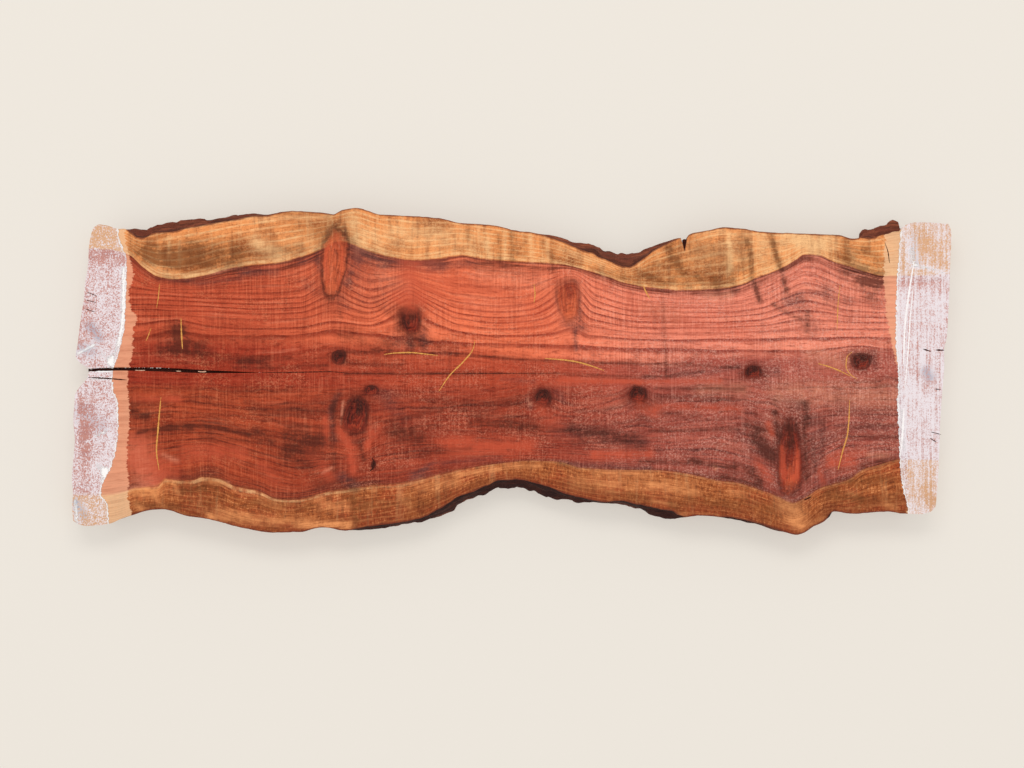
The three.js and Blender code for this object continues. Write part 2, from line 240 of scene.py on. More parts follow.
# Grey strokes are the dull purple bloom near knots and along the edge of the heartwood
GREY_STROKES = [
    ([(240, 273), (276, 272)], 4, 0.6), ([(352, 250), (380, 262), (440, 267)], 6, 0.75),
    ([(440, 266), (475, 262)], 4, 0.5), ([(352, 278), (398, 286)], 12, 0.3),
    ([(360, 300), (390, 306)], 7, 0.2), ([(160, 276), (200, 284), (240, 279)], 3, 0.4),
    ([(300, 262), (320, 260)], 4, 0.45), ([(354, 240), (356, 262), (349, 282)], 6, 0.5),
    ([(306, 284), (318, 290)], 7, 0.25), ([(317, 250), (319, 270)], 3, 0.45),
    ([(338, 296), (346, 307)], 5, 0.35), ([(422, 332), (425, 344)], 5.5, 0.7),
    ([(394, 338), (402, 346)], 5, 0.4), ([(409, 338), (411, 346)], 4, 0.6),
    ([(556, 292), (559, 314)], 2.2, 0.35), ([(579, 296), (579, 320)], 3.4, 0.5),
    ([(564, 323), (582, 328)], 4.5, 0.5), ([(575, 332), (576, 350)], 2, 0.7),
    ([(573, 280), (579, 283)], 2, 0.4), ([(786, 299), (828, 290)], 7, 0.35),
    ([(828, 298), (850, 303)], 7, 0.3), ([(796, 302), (812, 330)], 8, 0.35),
    ([(338, 394), (330, 410), (334, 440)], 3, 0.5), ([(374, 391), (394, 397)], 6, 0.4),
    ([(341, 476), (356, 488)], 5, 0.75), ([(413, 476), (426, 470)], 5, 0.6),
    ([(385, 402), (402, 418)], 7, 0.25), ([(556, 392), (562, 400)], 6, 0.3),
    ([(527, 398), (531, 408)], 3, 0.5), ([(560, 429), (640, 441)], 9, 0.4),
    ([(655, 368), (690, 371)], 4, 0.35), ([(640, 378), (690, 375), (740, 366)], 2.4, 0.5),
    ([(758, 372), (776, 372)], 7, 0.5), ([(840, 406), (880, 420)], 8, 0.25),
    ([(800, 406), (828, 436)], 8, 0.35), ([(744, 432), (775, 456)], 9, 0.35),
    ([(815, 440), (822, 480)], 8, 0.45), ([(776, 400), (800, 406)], 7, 0.4),
    ([(840, 426), (896, 432)], 5, 0.35), ([(502, 379), (535, 382)], 3, 0.3),
    # The strokes of this line and the next two lie in the wax, and make it blue grey and darker
    ([(90, 326), (99, 338)], 5, 0.8), ([(78, 346), (92, 352)], 6, 0.5),
    ([(926, 371), (930, 377)], 5, 0.8), ([(76, 502), (84, 516)], 5, 0.7),
    ([(82, 412), (100, 426)], 8, 0.45), ([(914, 236), (918, 262)], 4, 0.3),
    ([(560, 463), (650, 468)], 3, 0.5), ([(430, 464), (500, 458)], 3, 0.4),
    ([(850, 352), (874, 352)], 3, 0.4), ([(873, 356), (876, 368)], 3, 0.5),
]
# Bright strokes are clear orange red wood
BRIGHT_STROKES = [
    ([(327, 248), (325, 262), (328, 282)], 2.2, 0.5), ([(342, 250), (342, 268), (338, 284)], 1.8, 0.4),
    ([(453, 448), (529, 447)], 7.5, 0.75), ([(440, 440), (470, 440)], 5, 0.35),
    ([(595, 455), (650, 453)], 4.5, 0.7), ([(339, 430), (350, 446), (353, 470)], 4.5, 0.7),
    ([(371, 430), (367, 448)], 3.5, 0.6), ([(375, 436), (379, 429)], 3, 0.5),
    ([(325, 418), (326, 446)], 2.6, 0.65), ([(188, 452), (240, 453)], 9, 0.5),
    ([(135, 398), (178, 399)], 4, 0.45), ([(132, 460), (170, 470)], 11, 0.35),
    ([(560, 380.5), (640, 381.5)], 2.4, 0.7), ([(640, 382), (720, 381)], 2.4, 0.5),
    ([(655, 406), (740, 409)], 4, 0.35), ([(830, 462), (852, 464)], 7, 0.6),
    ([(838, 455), (864, 452)], 4, 0.35), ([(640, 405), (656, 413)], 5, 0.45),
    ([(768, 424), (772, 434)], 3.5, 0.6), ([(758, 464), (768, 480)], 5, 0.4),
    ([(819, 470), (824, 484)], 3, 0.45), ([(540, 408), (560, 426)], 6, 0.3),
    ([(395, 297), (424, 299)], 6, 0.4), ([(330, 366), (348, 368)], 2.6, 0.5),
    ([(262, 465), (275, 480)], 6, 0.3), ([(310, 452), (330, 478)], 6, 0.35),
    ([(782, 446), (784, 478)], 2.2, 0.6), ([(797, 452), (797, 478)], 2.6, 0.7),
    ([(440, 285), (540, 320)], 22, 0.3), ([(410, 268), (411, 300)], 13, 0.55),
    ([(784, 470), (794, 478)], 4, 0.4), ([(640, 310), (740, 330)], 16, 0.25),
    ([(140, 446), (152, 476)], 14, 0.6), ([(190, 312), (310, 318)], 16, 0.15),
]
# Cream strokes are pale, mostly in the sapwood
CREAM_STROKES = [
    ([(136, 504), (146, 516)], 3.5, 0.55), ([(176, 512), (190, 520)], 3, 0.5),
    ([(206, 511), (214, 521)], 2.4, 0.4), ([(300, 525), (348, 526)], 2.8, 0.6),
    ([(575, 482), (690, 487)], 8, 0.3), ([(370, 238), (480, 240)], 11, 0.25),
    ([(700, 252), (775, 257)], 13, 0.22), ([(334, 248), (331, 262), (332, 278)], 1.3, 0.45),
    ([(788, 240), (830, 243)], 8, 0.75), ([(802, 241), (818, 249)], 7, 0.6),
    ([(780, 392), (892, 396)], 12, 0.3), ([(812, 356), (842, 361)], 9, 0.3),
    ([(645, 308), (675, 316)], 8, 0.25), ([(138, 452), (148, 480)], 13, 0.5),
    ([(480, 276), (540, 282)], 9, 0.22), ([(382, 276), (408, 284)], 8, 0.16),
    ([(472, 302), (520, 310)], 9, 0.15), ([(418, 486), (455, 482)], 6, 0.35),
    ([(738, 236), (772, 240)], 7, 0.25), ([(727, 233), (731, 255), (729, 274)], 2.8, 0.7),
    ([(760, 238), (764, 262)], 5, 0.2), ([(850, 250), (853, 259)], 2.6, 0.55),
    ([(852, 263), (868, 269)], 2, 0.6), ([(352, 218), (360, 240)], 7, 0.6),
    ([(370, 232), (380, 247)], 5, 0.35), ([(392, 230), (445, 234)], 7, 0.3),
    ([(332, 268), (331, 290)], 3, 0.5), ([(258, 246), (284, 256)], 6, 0.4),
    ([(302, 236), (324, 244)], 5, 0.2), ([(255, 240), (278, 253)], 7, 0.4),
    ([(284, 240), (300, 246)], 6, 0.2), ([(169, 236), (169, 258)], 1.5, 0.6),
    ([(179.5, 236), (180, 262)], 1.6, 0.45),
    ([(146, 260), (162, 272), (185, 276), (215, 272), (240, 265)], 1.7, 0.65),
    ([(487, 240), (488, 257)], 2.6, 0.45), ([(504.5, 232), (505, 258)], 2, 0.55),
    ([(531, 236), (532, 262)], 2.6, 0.4), ([(547, 240), (548, 262)], 2, 0.4),
    ([(560, 249), (600, 263)], 3, 0.3), ([(601, 267), (604, 278)], 1.8, 0.35),
    ([(240, 219), (330, 217)], 2.6, 0.4), ([(696, 233), (722, 231)], 2.6, 0.4),
    ([(131, 492), (157, 491)], 3.6, 0.6), ([(174, 482), (178, 494)], 2.6, 0.45),
    ([(203, 480), (228, 484)], 1.5, 0.6), ([(320, 503), (345, 508)], 6, 0.4),
    ([(318, 525), (350, 524)], 3, 0.85), ([(646, 513), (684, 517)], 2.6, 0.8),
    ([(560, 499), (600, 503)], 1.4, 0.4), ([(455, 475), (500, 469)], 2, 0.7),
    ([(505, 466), (540, 466)], 2.4, 0.5), ([(592, 472), (650, 475)], 2, 0.5),
    ([(600, 485), (612, 490)], 5, 0.3), ([(784, 506), (800, 516)], 7, 0.7),
    ([(790, 521), (800, 526)], 5, 0.5), ([(650, 485), (700, 494)], 2.6, 0.4),
    ([(652, 500), (674, 505)], 2, 0.4), ([(800, 527), (822, 519)], 2, 0.4),
    ([(400, 495), (408, 505)], 4, 0.35), ([(217, 509), (250, 516)], 2.4, 0.45),
    ([(155, 497), (165, 510)], 3, 0.4), ([(848, 492), (856, 496)], 2, 0.5),
    ([(885, 501), (893, 508)], 4, 0.35), ([(730, 491), (745, 495)], 3, 0.35),
    ([(325, 270), (326, 277)], 1.8, 0.9), ([(323, 472), (332, 468)], 1.3, 0.6),
    ([(163, 455), (177, 461)], 2.4, 0.35), ([(343, 402), (341, 424)], 1.1, 0.45),
    ([(528, 398), (531, 406)], 1.1, 0.4), ([(848, 366), (850, 358), (858, 353)], 1.1, 0.25),
    ([(868, 455), (888, 456)], 3, 0.35), ([(702, 388), (742, 389)], 8, 0.22),
    ([(212, 517), (312, 523)], 5, 0.4), ([(260, 500), (280, 507)], 3, 0.3),
    ([(706, 297), (730, 296)], 5, 0.3), ([(714, 467), (716, 469)], 1.4, 0.6),
]
# Where the wax is thicker and whiter (above 0), or thin enough to show the wood (below 0)
WAX_STROKES = [
    # The strokes below 0 that run down the left rim, at 83 to 77 across, darken the wax there
    ([(80, 256), (122, 257)], 8, -0.6), ([(83, 290), (78, 345)], 5, -0.3),
    ([(77, 385), (77, 412)], 5, -0.25), ([(92, 232), (118, 240)], 8, -0.3),
    ([(108, 436), (109, 468)], 8, 0.22), ([(80, 400), (83, 450)], 4.5, -0.55),
    ([(88, 430), (85, 470), (83, 490)], 6, -0.4), ([(92, 402), (88, 440)], 5, -0.3),
    ([(96, 465), (107, 474)], 4, 0.4), ([(102, 484), (105, 470)], 3, 0.5),
    ([(76, 395), (77, 425)], 1.8, 0.8), ([(75, 500), (77, 522)], 2.2, 0.7),
    ([(119, 240), (126, 251)], 2.6, 0.9), ([(77, 354), (94, 345)], 1.7, 0.9),
    ([(101, 352), (113, 364)], 5, 0.4), ([(82, 446), (92, 438), (106, 431)], 1.3, 0.7),
    ([(123.5, 268), (123.5, 300), (122.5, 325), (118, 345)], 2.6, 0.8),
    ([(116, 350), (110, 364)], 3, 0.5), ([(88, 370), (112, 370)], 1.6, 0.8),
    ([(90, 379), (118, 378)], 1.4, 0.6), ([(905, 282), (940, 284)], 7, -0.4),
    ([(900, 300), (900, 362)], 4.5, 0.3), ([(924, 238), (940, 262)], 8, -0.35),
    ([(913, 250), (914, 262)], 4, 0.45), ([(914, 265), (944, 272)], 1.8, 0.6),
    ([(925, 486), (930, 501)], 5, -0.4), ([(936, 500), (943, 505)], 3, -0.5),
    ([(901, 502), (930, 514)], 3, 0.35), ([(901, 410), (904, 450)], 3, 0.5),
    ([(905, 228), (910, 262)], 4, 0.2), ([(100, 228), (96, 242)], 3, -0.2),
    ([(86, 300), (90, 330)], 6, -0.15), ([(905, 395), (930, 400)], 8, 0.12),
    ([(906, 366), (928, 382)], 8, -0.2), ([(80, 506), (92, 516)], 6, 0.2),
]

# Edge of the wax coat and of the dry wood beside it, across each end of the top face, as pixels
# (across, down) from the far side to the near side
WAX_EDGE_LEFT = [
    (117, 205), (119, 236), (124, 250), (127, 262), (126, 300), (125, 325), (121, 345), (117, 360),
    (113, 372), (113, 388), (118, 402), (118.5, 425), (117, 445), (113, 462), (108, 474), (103, 484),
    (101, 494), (108, 505), (109, 520), (106, 545),
]
DRY_EDGE_LEFT = [
    (121, 205), (125, 232), (128, 250), (132, 264), (133.5, 276), (129, 292), (131, 308), (137.5, 318),
    (133.5, 330), (133, 350), (130.5, 364), (128, 380), (129, 400), (130, 418), (128, 440), (127, 462),
    (129, 482), (128, 494), (131, 512), (130, 545),
]
WAX_EDGE_RIGHT = [
    (903, 205), (900, 236), (898, 262), (896.5, 285), (895.5, 320), (895.5, 345), (897.5, 366), (898, 385),
    (896.8, 402), (898, 425), (899, 448), (900, 470), (902.5, 488), (906, 502), (908, 514), (906, 545),
]
DRY_EDGE_RIGHT = [
    (886, 205), (884.5, 242), (884, 280), (886, 308), (888.5, 328), (891.5, 345), (896, 362), (900, 380),
    (905, 410), (908, 545),
]
# Ridges of thick wax, and the hairline checks and cracks of the top face drawn as dark strips of painted
# shade, as pixels with their widths
WAX_RIDGES = [
    ([(914, 262), (911, 280), (908, 300), (905.5, 320), (904.3, 340), (903.5, 364)], 2.0),
    ([(913.3, 286), (912, 300), (910, 320), (908.8, 340), (907, 365), (904.5, 390)], 1.3),
    ([(904, 408), (903, 425), (901.5, 450)], 2.2),
    ([(96, 371.5), (112, 371.8)], 1.6),
]
HAIRLINES = [
    ([(88, 377.5), (100, 378), (127, 380)], 1.3),
    ([(262, 372.6), (300, 372.2), (330, 371.7), (348, 373.2)], 0.9),
    ([(348, 373.3), (400, 374), (470, 373.6), (560, 373.2)], 0.6),
    ([(923, 349), (928, 350.5), (931, 351.5)], 1.3), ([(936, 350), (944, 350.2)], 1.5),
    ([(935, 389), (941, 389.5)], 1.0), ([(930, 438), (936, 442)], 1.0), ([(931, 432), (941, 434.5)], 0.8),
    ([(804, 500), (811, 497)], 1.4), ([(370, 471), (373, 468), (374, 462), (372, 458)], 1.8),
    ([(885, 243), (888, 252), (889.5, 263)], 0.8),
    ([(87, 292), (97, 296)], 0.8), ([(86, 300), (96, 302.5)], 0.8), ([(85.5, 309), (95, 312)], 0.7),
]
# Dark strips deep in the pith crack and in the split, painted shade that also hides the floor below, and pale
# splinters caught in the crack, as pixels with their widths
CRACK_SHADE_STRIPS = [
    ([(88, 370.1), (130, 370.6), (170, 371.2), (210, 371.8), (258, 372.5)], 7.0),
    ([(684.8, 239), (684.6, 243), (684.4, 248)], 5.0),
]
SPLINTERS = [
    ([(198, 371.3), (202, 371.9), (206, 371.5)], 1.5), ([(135, 370.2), (140, 370.6), (145, 370.3)], 1.0),
    ([(176, 371.0), (181, 371.3)], 0.9),
]

# Marking-pencil strokes on the top face, as pixels with their widths
PENCIL_STROKES = [
    ([(161, 397), (159.5, 412), (158, 430), (156.5, 450), (159, 470)], 1.4),
    ([(159.5, 284), (158.5, 296), (156.5, 308)], 0.9),
    ([(181, 318), (181.5, 334), (182.5, 349)], 1.4),
    ([(849.5, 400), (849, 418), (847.5, 434), (843, 450), (838, 470)], 1.3),
    ([(384, 354.5), (395, 353), (410, 352.5), (425, 354), (438, 355.5)], 1.2),
    ([(475, 341), (473, 349), (463, 362), (450, 375), (439, 391)], 1.3),
    ([(545, 358.5), (560, 359.5), (575, 361.5), (590, 365.5), (604, 370.5)], 1.4),
    ([(818, 363.5), (830, 367), (840, 371), (850, 376)], 1.2),
    ([(857, 379), (850, 374), (846, 366), (847, 357), (852, 352)], 1.0),
    ([(643, 285), (646, 292), (650, 299)], 1.2),
    ([(534, 284), (535, 294), (534, 303)], 0.9),
    ([(151, 328), (149, 334), (146, 341)], 0.9),
    ([(840, 285), (838, 305), (837, 330)], 0.8),
]


def steady_curve(places, heights):
    """A curve through points that never swings past any of them. Heights may be arrays."""
    places = np.asarray(places, float)
    heights = np.asarray(heights, float)
    span = np.diff(places).reshape((-1,) + (1,) * (heights.ndim - 1))
    chord = np.diff(heights, axis=0) / span
    slopes = np.concatenate([chord[:1], chord]) * 1.0
    agree = chord[:-1] * chord[1:]
    total = np.where(agree > 0, chord[:-1] + chord[1:], 1.0)
    slopes[1:-1] = np.where(agree > 0, 2 * agree / total, 0.0)
    slopes[-1] = chord[-1]

    def at(place):
        place = np.clip(place, places[0], places[-1])
        index = np.clip(np.searchsorted(places, place) - 1, 0, len(places) - 2)
        width = places[index + 1] - places[index]
        t = (place - places[index]) / width
        if heights.ndim > 1 and np.ndim(t):
            t = t.reshape((-1,) + (1,) * (heights.ndim - 1))
            width = width.reshape(t.shape)
        blend = t * t * (3 - 2 * t)
        level = heights[index] * (1 - blend) + heights[index + 1] * blend
        bend = slopes[index] * t * (1 - t) ** 2 - slopes[index + 1] * t * t * (1 - t)
        return level + width * bend

    return at


def photo_line(pixels, over="x"):
    """A line of listed photo pixels as a curve on the slab: y over x, or x over y."""
    points = place(pixels)
    axis = 0 if over == "x" else 1
    points = points[np.argsort(points[:, axis])]
    return steady_curve(points[:, axis], points[:, 1 - axis])


def smooth_step(low, high, value):
    """0 below the low value, 1 above the high one, and a soft rise between them."""
    t = np.clip((value - low) / (high - low), 0, 1)
    return t * t * (3 - 2 * t)


NOISE_TABLE = 64


def lattice_noise(points, cell, seed):
    """Smooth random values from -1 to 1 over points, with one draw at each corner of a cell."""
    table = np.random.default_rng(seed).uniform(-1, 1, (NOISE_TABLE,) * 3)
    scaled = np.asarray(points, float) / cell
    low = np.floor(scaled).astype(int)
    part = scaled - low
    part = part * part * (3 - 2 * part)
    value = np.zeros(len(scaled))
    for corner in np.ndindex(2, 2, 2):
        share = np.prod(np.where(corner, part, 1 - part), axis=1)
        index = (low + corner) % NOISE_TABLE
        value += share * table[index[:, 0], index[:, 1], index[:, 2]]
    return value


def solid_levels(solid):
    """The solid's level rings of stations, from the top face down, as (levels, stations, 3)."""
    mesh = solid.data
    corners = np.empty(len(mesh.vertices) * 3)
    mesh.vertices.foreach_get("co", corners)
    points, same = np.unique(np.round(corners.reshape(-1, 3), 6), axis=0, return_inverse=True)
    mesh.calc_loop_triangles()
    triangles = np.empty(len(mesh.loop_triangles) * 3, int)
    mesh.loop_triangles.foreach_get("vertices", triangles)
    triangles = same.ravel()[triangles].reshape(-1, 3)
    heights = np.round(points[:, 2], 4)
    neighbours = {}
    for a, b, c in triangles.tolist():
        for start, end, other in ((a, b, c), (b, c, a), (c, a, b)):
            if heights[start] == heights[end] != heights[other]:
                neighbours.setdefault(start, set()).add(end)
                neighbours.setdefault(end, set()).add(start)
    rings = []
    for height in sorted(set(heights), reverse=True):
        level = [index for index in neighbours if heights[index] == height]
        start = min(level, key=lambda index: np.hypot(*(points[index, :2] - place(CRACK_TIP))))
        ring = [start]
        previous, current = start, min(neighbours[start])
        while current != start:
            ring.append(current)
            following = next(n for n in neighbours[current] if n != previous)
            previous, current = current, following
        ring = points[ring]
        ahead = np.roll(ring, -1, axis=0)
        area = np.sum(ring[:, 0] * ahead[:, 1] - ahead[:, 0] * ring[:, 1])
        rings.append(ring if area > 0 else np.roll(ring[::-1], 1, axis=0))
    return np.array(rings)


# How finely the slab's mesh is stepped. All are even, because the underside takes every other one.
COLUMNS = 400
TIP_COLUMN = 80
HALF_ROWS = 62
EDGE_ROWS = 18

# Where each stretch of the mesh's ring begins, going round from the near left corner
RIGHT_START = COLUMNS
PITH_END = RIGHT_START + HALF_ROWS
FAR_START = PITH_END + HALF_ROWS
LEFT_START = FAR_START + COLUMNS
FAR_LIP_START = LEFT_START + HALF_ROWS
TIP_AT = FAR_LIP_START + TIP_COLUMN
NEAR_LIP_END = TIP_AT + TIP_COLUMN
RING_SIZE = NEAR_LIP_END + HALF_ROWS

levels = solid_levels(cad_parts["slab"])
level_depths = 1 - levels[:, 0, 2] / THICKNESS
ring_at_depth = steady_curve(level_depths, levels[:, :, :2])
pith_line = photo_line(PITH)


def station(corner):
    """The solid's station at a corner of its outline, given in photo pixels."""
    return int(np.argmin(np.hypot(*(levels[0, :, :2] - place(corner)).T)))


def side_line(ring, first, last, over):
    """The stretch of a ring between two corners as a curve, y over x or x over y."""
    end = station(last) or len(ring)
    stretch = np.vstack([ring, ring[:1]])[station(first):end + 1]
    axis = 0 if over == "x" else 1
    stretch = stretch[np.argsort(stretch[:, axis])]
    return steady_curve(stretch[:, axis], stretch[:, 1 - axis]), stretch[0], stretch[-1]


def walk(start, end, count, curve, over):
    """Even steps along one stretch of the outline, without its last point."""
    axis = 0 if over == "x" else 1
    along = np.linspace(start[axis], end[axis], count + 1)[:-1]
    across = curve(along)
    return np.column_stack([along, across] if axis == 0 else [across, along])


def fine_ring(depth):
    """The slab's outline at a depth from 0, the top face, to 1, the underside."""
    ring = ring_at_depth(depth)
    near, near_left, near_right = side_line(ring, NEAR_LEFT, NEAR_RIGHT, "x")
    right, _, far_right = side_line(ring, NEAR_RIGHT, FAR_RIGHT, "y")
    far, far_left, _ = side_line(ring, FAR_RIGHT, FAR_LEFT, "x")
    left_upper, far_mouth, _ = side_line(ring, FAR_LEFT, CRACK_FAR_MOUTH, "y")
    far_lip, _, tip = side_line(ring, CRACK_FAR_MOUTH, CRACK_TIP, "x")
    near_lip, near_mouth, _ = side_line(ring, CRACK_TIP, CRACK_NEAR_MOUTH, "x")
    left_lower, _, _ = side_line(ring, CRACK_NEAR_MOUTH, NEAR_LEFT, "y")
    pith_y = pith_line(far_right[0])
    pith_end = np.array([right(pith_y), pith_y])
    return np.vstack([
        walk(near_left, near_right, COLUMNS, near, "x"),
        walk(near_right, pith_end, HALF_ROWS, right, "y"),
        walk(pith_end, far_right, HALF_ROWS, right, "y"),
        walk(far_right, far_left, COLUMNS, far, "x"),
        walk(far_left, far_mouth, HALF_ROWS, left_upper, "y"),
        walk(far_mouth, tip, TIP_COLUMN, far_lip, "x"),
        walk(tip, near_mouth, TIP_COLUMN, near_lip, "x"),
        walk(near_mouth, near_left, HALF_ROWS, left_lower, "y"),
    ])


CORNER_FADE = 5


def ring_kinds():
    """For each station of the fine ring: 1 where it is a live edge, with a fade at its corners."""
    live = np.zeros(RING_SIZE)
    fade = smooth_step(0, CORNER_FADE, np.minimum(np.arange(COLUMNS), COLUMNS - np.arange(COLUMNS)))
    live[:COLUMNS] = fade
    live[FAR_START:LEFT_START] = fade
    return live


def bark_widths(rings):
    """How far the bark stands out beyond the top rim at each station, in metres."""
    out = np.zeros(RING_SIZE)
    widest = np.max(-rings[:, :COLUMNS, 1], axis=0)
    out[:COLUMNS] = widest + rings[0, :COLUMNS, 1]
    widest = np.max(rings[:, FAR_START:LEFT_START, 1], axis=0)
    out[FAR_START:LEFT_START] = widest - rings[0, FAR_START:LEFT_START, 1]
    return np.clip(out, 0, None)


def edge_fill(x, pixels):
    """How far out the live edge is moved at each x, in metres."""
    across, out = np.array(pixels, float).T
    return np.interp(x, place(np.column_stack([across, across]))[:, 0], out * METRES_PER_PIXEL)


# Unevenness of the live edges and the saw cuts: the size of its cells in mm, and its seed
LONG_RIDGES = (6.5, 11)
FINE_RIDGES = (3.2, 12)
LUMPS = (30, 13)
FLAKES = (9, 14)
RAGGED_RIM = (7, 15)
SAW_WOBBLE = (5, 16)
CHIPS = (8, 17)
# How far each of them stands out, in mm. Flakes and chips are on thick bark alone.
LONG_RIDGE_HEIGHT = 1.3
FINE_RIDGE_HEIGHT = 0.8
LUMP_HEIGHT = 0.9
FLAKE_HEIGHT = 1.6
CHIP_HEIGHT = 1.7
SAW_HEIGHT = 0.35
# The least share of the ridges, and the ragged rim's height in mm, each with what thick bark adds
RIDGE_SHARE = (0.35, 0.65)
RIM_HEIGHT = (0.45, 0.4)
# A place is multiplied by these before its noise is read, so cells are longer where a number is below 1:
# along the slab for ridges and flakes, through it for chips, and across it for the saw cuts.
# Fine ridges take the first two.
RIDGE_STRETCH = 0.14
FINE_STRETCH = 2.4
FLAKE_STRETCH = 0.5
CHIP_STRETCH = 0.25
SAW_STRETCH = 0.4
# The far side reads its noise this far off, so that it differs from the near side
FAR_SHIFT = 7.0
# A flake begins where its noise is above this value
FLAKE_START = 0.15
# The bark is thick from this width on, and the ragged rim reaches down to this share of the thickness
THICK_BARK = 9 * MM
RIM_REACH = 0.1


def unevenness(points, kind):
    """One of the kinds of unevenness at each point, from -1 to 1."""
    cell, seed = kind
    return lattice_noise(points, cell * MM, seed)


def roughen(rings, bark):
    """Fibrous ridges and flakes on the live edges, a ragged rim, and a light wobble on the saw cuts."""
    live = ring_kinds()
    rows, count = rings.shape[:2]
    depth = np.repeat(np.linspace(0, 1, rows), count)
    flat = np.column_stack([rings.reshape(-1, 2), depth * THICKNESS])
    x, y, z = flat.T
    side = np.where(y > 0, FAR_SHIFT, 0.0)
    stretched = np.column_stack([x * RIDGE_STRETCH, side, z])
    long_ridge = 1 - 2 * np.abs(unevenness(stretched, LONG_RIDGES))
    fine_ridge = 1 - 2 * np.abs(unevenness(stretched * (FINE_STRETCH, 1, 1), FINE_RIDGES))
    lumps = unevenness(np.column_stack([x, side, z]), LUMPS)
    flakes = unevenness(np.column_stack([x * FLAKE_STRETCH, side, z]), FLAKES)
    chips = unevenness(np.column_stack([x, side, z * CHIP_STRETCH]), CHIPS)
    thick = np.tile(np.clip(bark / THICK_BARK, 0, 1), rows)
    below = smooth_step(0, RIM_REACH, depth)
    ridges = LONG_RIDGE_HEIGHT * long_ridge + FINE_RIDGE_HEIGHT * fine_ridge
    ridges += (FLAKE_HEIGHT * (flakes > FLAKE_START) + CHIP_HEIGHT * chips) * thick
    relief = (RIDGE_SHARE[0] + RIDGE_SHARE[1] * thick) * ridges * below + LUMP_HEIGHT * lumps * below
    ragged = unevenness(np.column_stack([x, y, side]), RAGGED_RIM)
    relief += (RIM_HEIGHT[0] + RIM_HEIGHT[1] * thick) * ragged * (1 - below)
    relief = relief.reshape(rows, count) * live * MM
    saw = unevenness(np.column_stack([side, y * SAW_STRETCH, z]), SAW_WOBBLE)
    cut = np.zeros(count)
    cut[RIGHT_START:FAR_START] = 1
    cut[LEFT_START:FAR_LIP_START] = 1
    cut[NEAR_LIP_END:] = 1
    relief += saw.reshape(rows, count) * cut * SAW_HEIGHT * MM * below.reshape(rows, count)
    fill = np.where(y > 0, edge_fill(x, FAR_FILL), edge_fill(x, NEAR_FILL))
    relief += fill.reshape(rows, count) * live
    ahead = np.roll(rings, -1, axis=1) - np.roll(rings, 1, axis=1)
    outward = np.stack([ahead[..., 1], -ahead[..., 0]], axis=-1)
    outward /= np.maximum(np.linalg.norm(outward, axis=-1, keepdims=True), TINY)
    return rings + outward * relief[..., None]


def patch(inner, outer, left, right):
    """A face's grid of points, filled in between its four sides."""
    u = np.linspace(0, 1, len(inner))[None, :, None]
    v = np.linspace(0, 1, len(left))[:, None, None]
    across = (1 - v) * inner[None] + v * outer[None]
    along = (1 - u) * left[:, None] + u * right[:, None]
    corners = (1 - v) * ((1 - u) * inner[0] + u * inner[-1]) + v * ((1 - u) * outer[0] + u * outer[-1])
    return across + along - corners


# Past the crack's tip, the grids' inner edge runs back to the pith within about this length
TIP_FADE = 30 * MM


def face_halves(ring, step):
    """The far and near halves of a flat face, as grids from the pith out to the live edge."""
    closed = np.vstack([ring, ring[:1]])
    near = closed[:RIGHT_START + 1]
    right_near = closed[RIGHT_START:PITH_END + 1][::-1]
    right_far = closed[PITH_END:FAR_START + 1]
    far = closed[FAR_START:LEFT_START + 1][::-1]
    left_far = closed[LEFT_START:FAR_LIP_START + 1][::-1]
    far_lip = closed[FAR_LIP_START:TIP_AT + 1]
    near_lip = closed[TIP_AT:NEAR_LIP_END + 1][::-1]
    left_near = closed[NEAR_LIP_END:]
    tip_x = far_lip[-1, 0]
    beyond = np.linspace(tip_x, right_far[0, 0], COLUMNS - TIP_COLUMN + 1)[1:]
    heart = np.column_stack([beyond, pith_line(beyond)])
    heart[:, 1] += (far_lip[-1, 1] - pith_line(tip_x)) * np.exp(-(beyond - tip_x) / TIP_FADE)
    heart[-1] = right_far[0]
    far_half = patch(np.vstack([far_lip, heart]), far, left_far, right_far)
    near_half = patch(np.vstack([near_lip, heart]), near, left_near, right_near)
    return far_half[::step, ::step], near_half[::step, ::step]


class Builder:
    """Collects the slab's points, and its faces with the part of the surface they belong to."""

    def __init__(self):
        self.points = []
        self.count = 0
        self.faces = []
        self.parts = []

    def add(self, points):
        points = np.asarray(points, float).reshape(-1, 3)
        self.points.append(points)
        first = self.count
        self.count += len(points)
        return np.arange(first, self.count)

    def quads(self, a, b, c, d, part):
        made = np.stack([np.ravel(x) for x in (a, b, c, d)], axis=1)
        self.faces.extend(made.tolist())
        self.parts.extend(np.broadcast_to(np.ravel(part), len(made)).tolist())

    def grid(self, ids, part, turned):
        a, b, c, d = ids[:-1, :-1], ids[:-1, 1:], ids[1:, 1:], ids[1:, :-1]
        if turned:
            a, b, c, d = d, c, b, a
        self.quads(a, b, c, d, part)


TOP, UNDERSIDE, NEAR_SIDE, FAR_SIDE, LEFT_CUT, RIGHT_CUT, CRACK_FAR, CRACK_NEAR = range(8)


def ring_parts():
    """The part of the surface that lies below each step of the ring."""
    parts = np.empty(RING_SIZE, int)
    parts[:RIGHT_START] = NEAR_SIDE
    parts[RIGHT_START:FAR_START] = RIGHT_CUT
    parts[FAR_START:LEFT_START] = FAR_SIDE
    parts[LEFT_START:FAR_LIP_START] = LEFT_CUT
    parts[FAR_LIP_START:TIP_AT] = CRACK_FAR
    parts[TIP_AT:NEAR_LIP_END] = CRACK_NEAR
    parts[NEAR_LIP_END:] = LEFT_CUT
    return parts


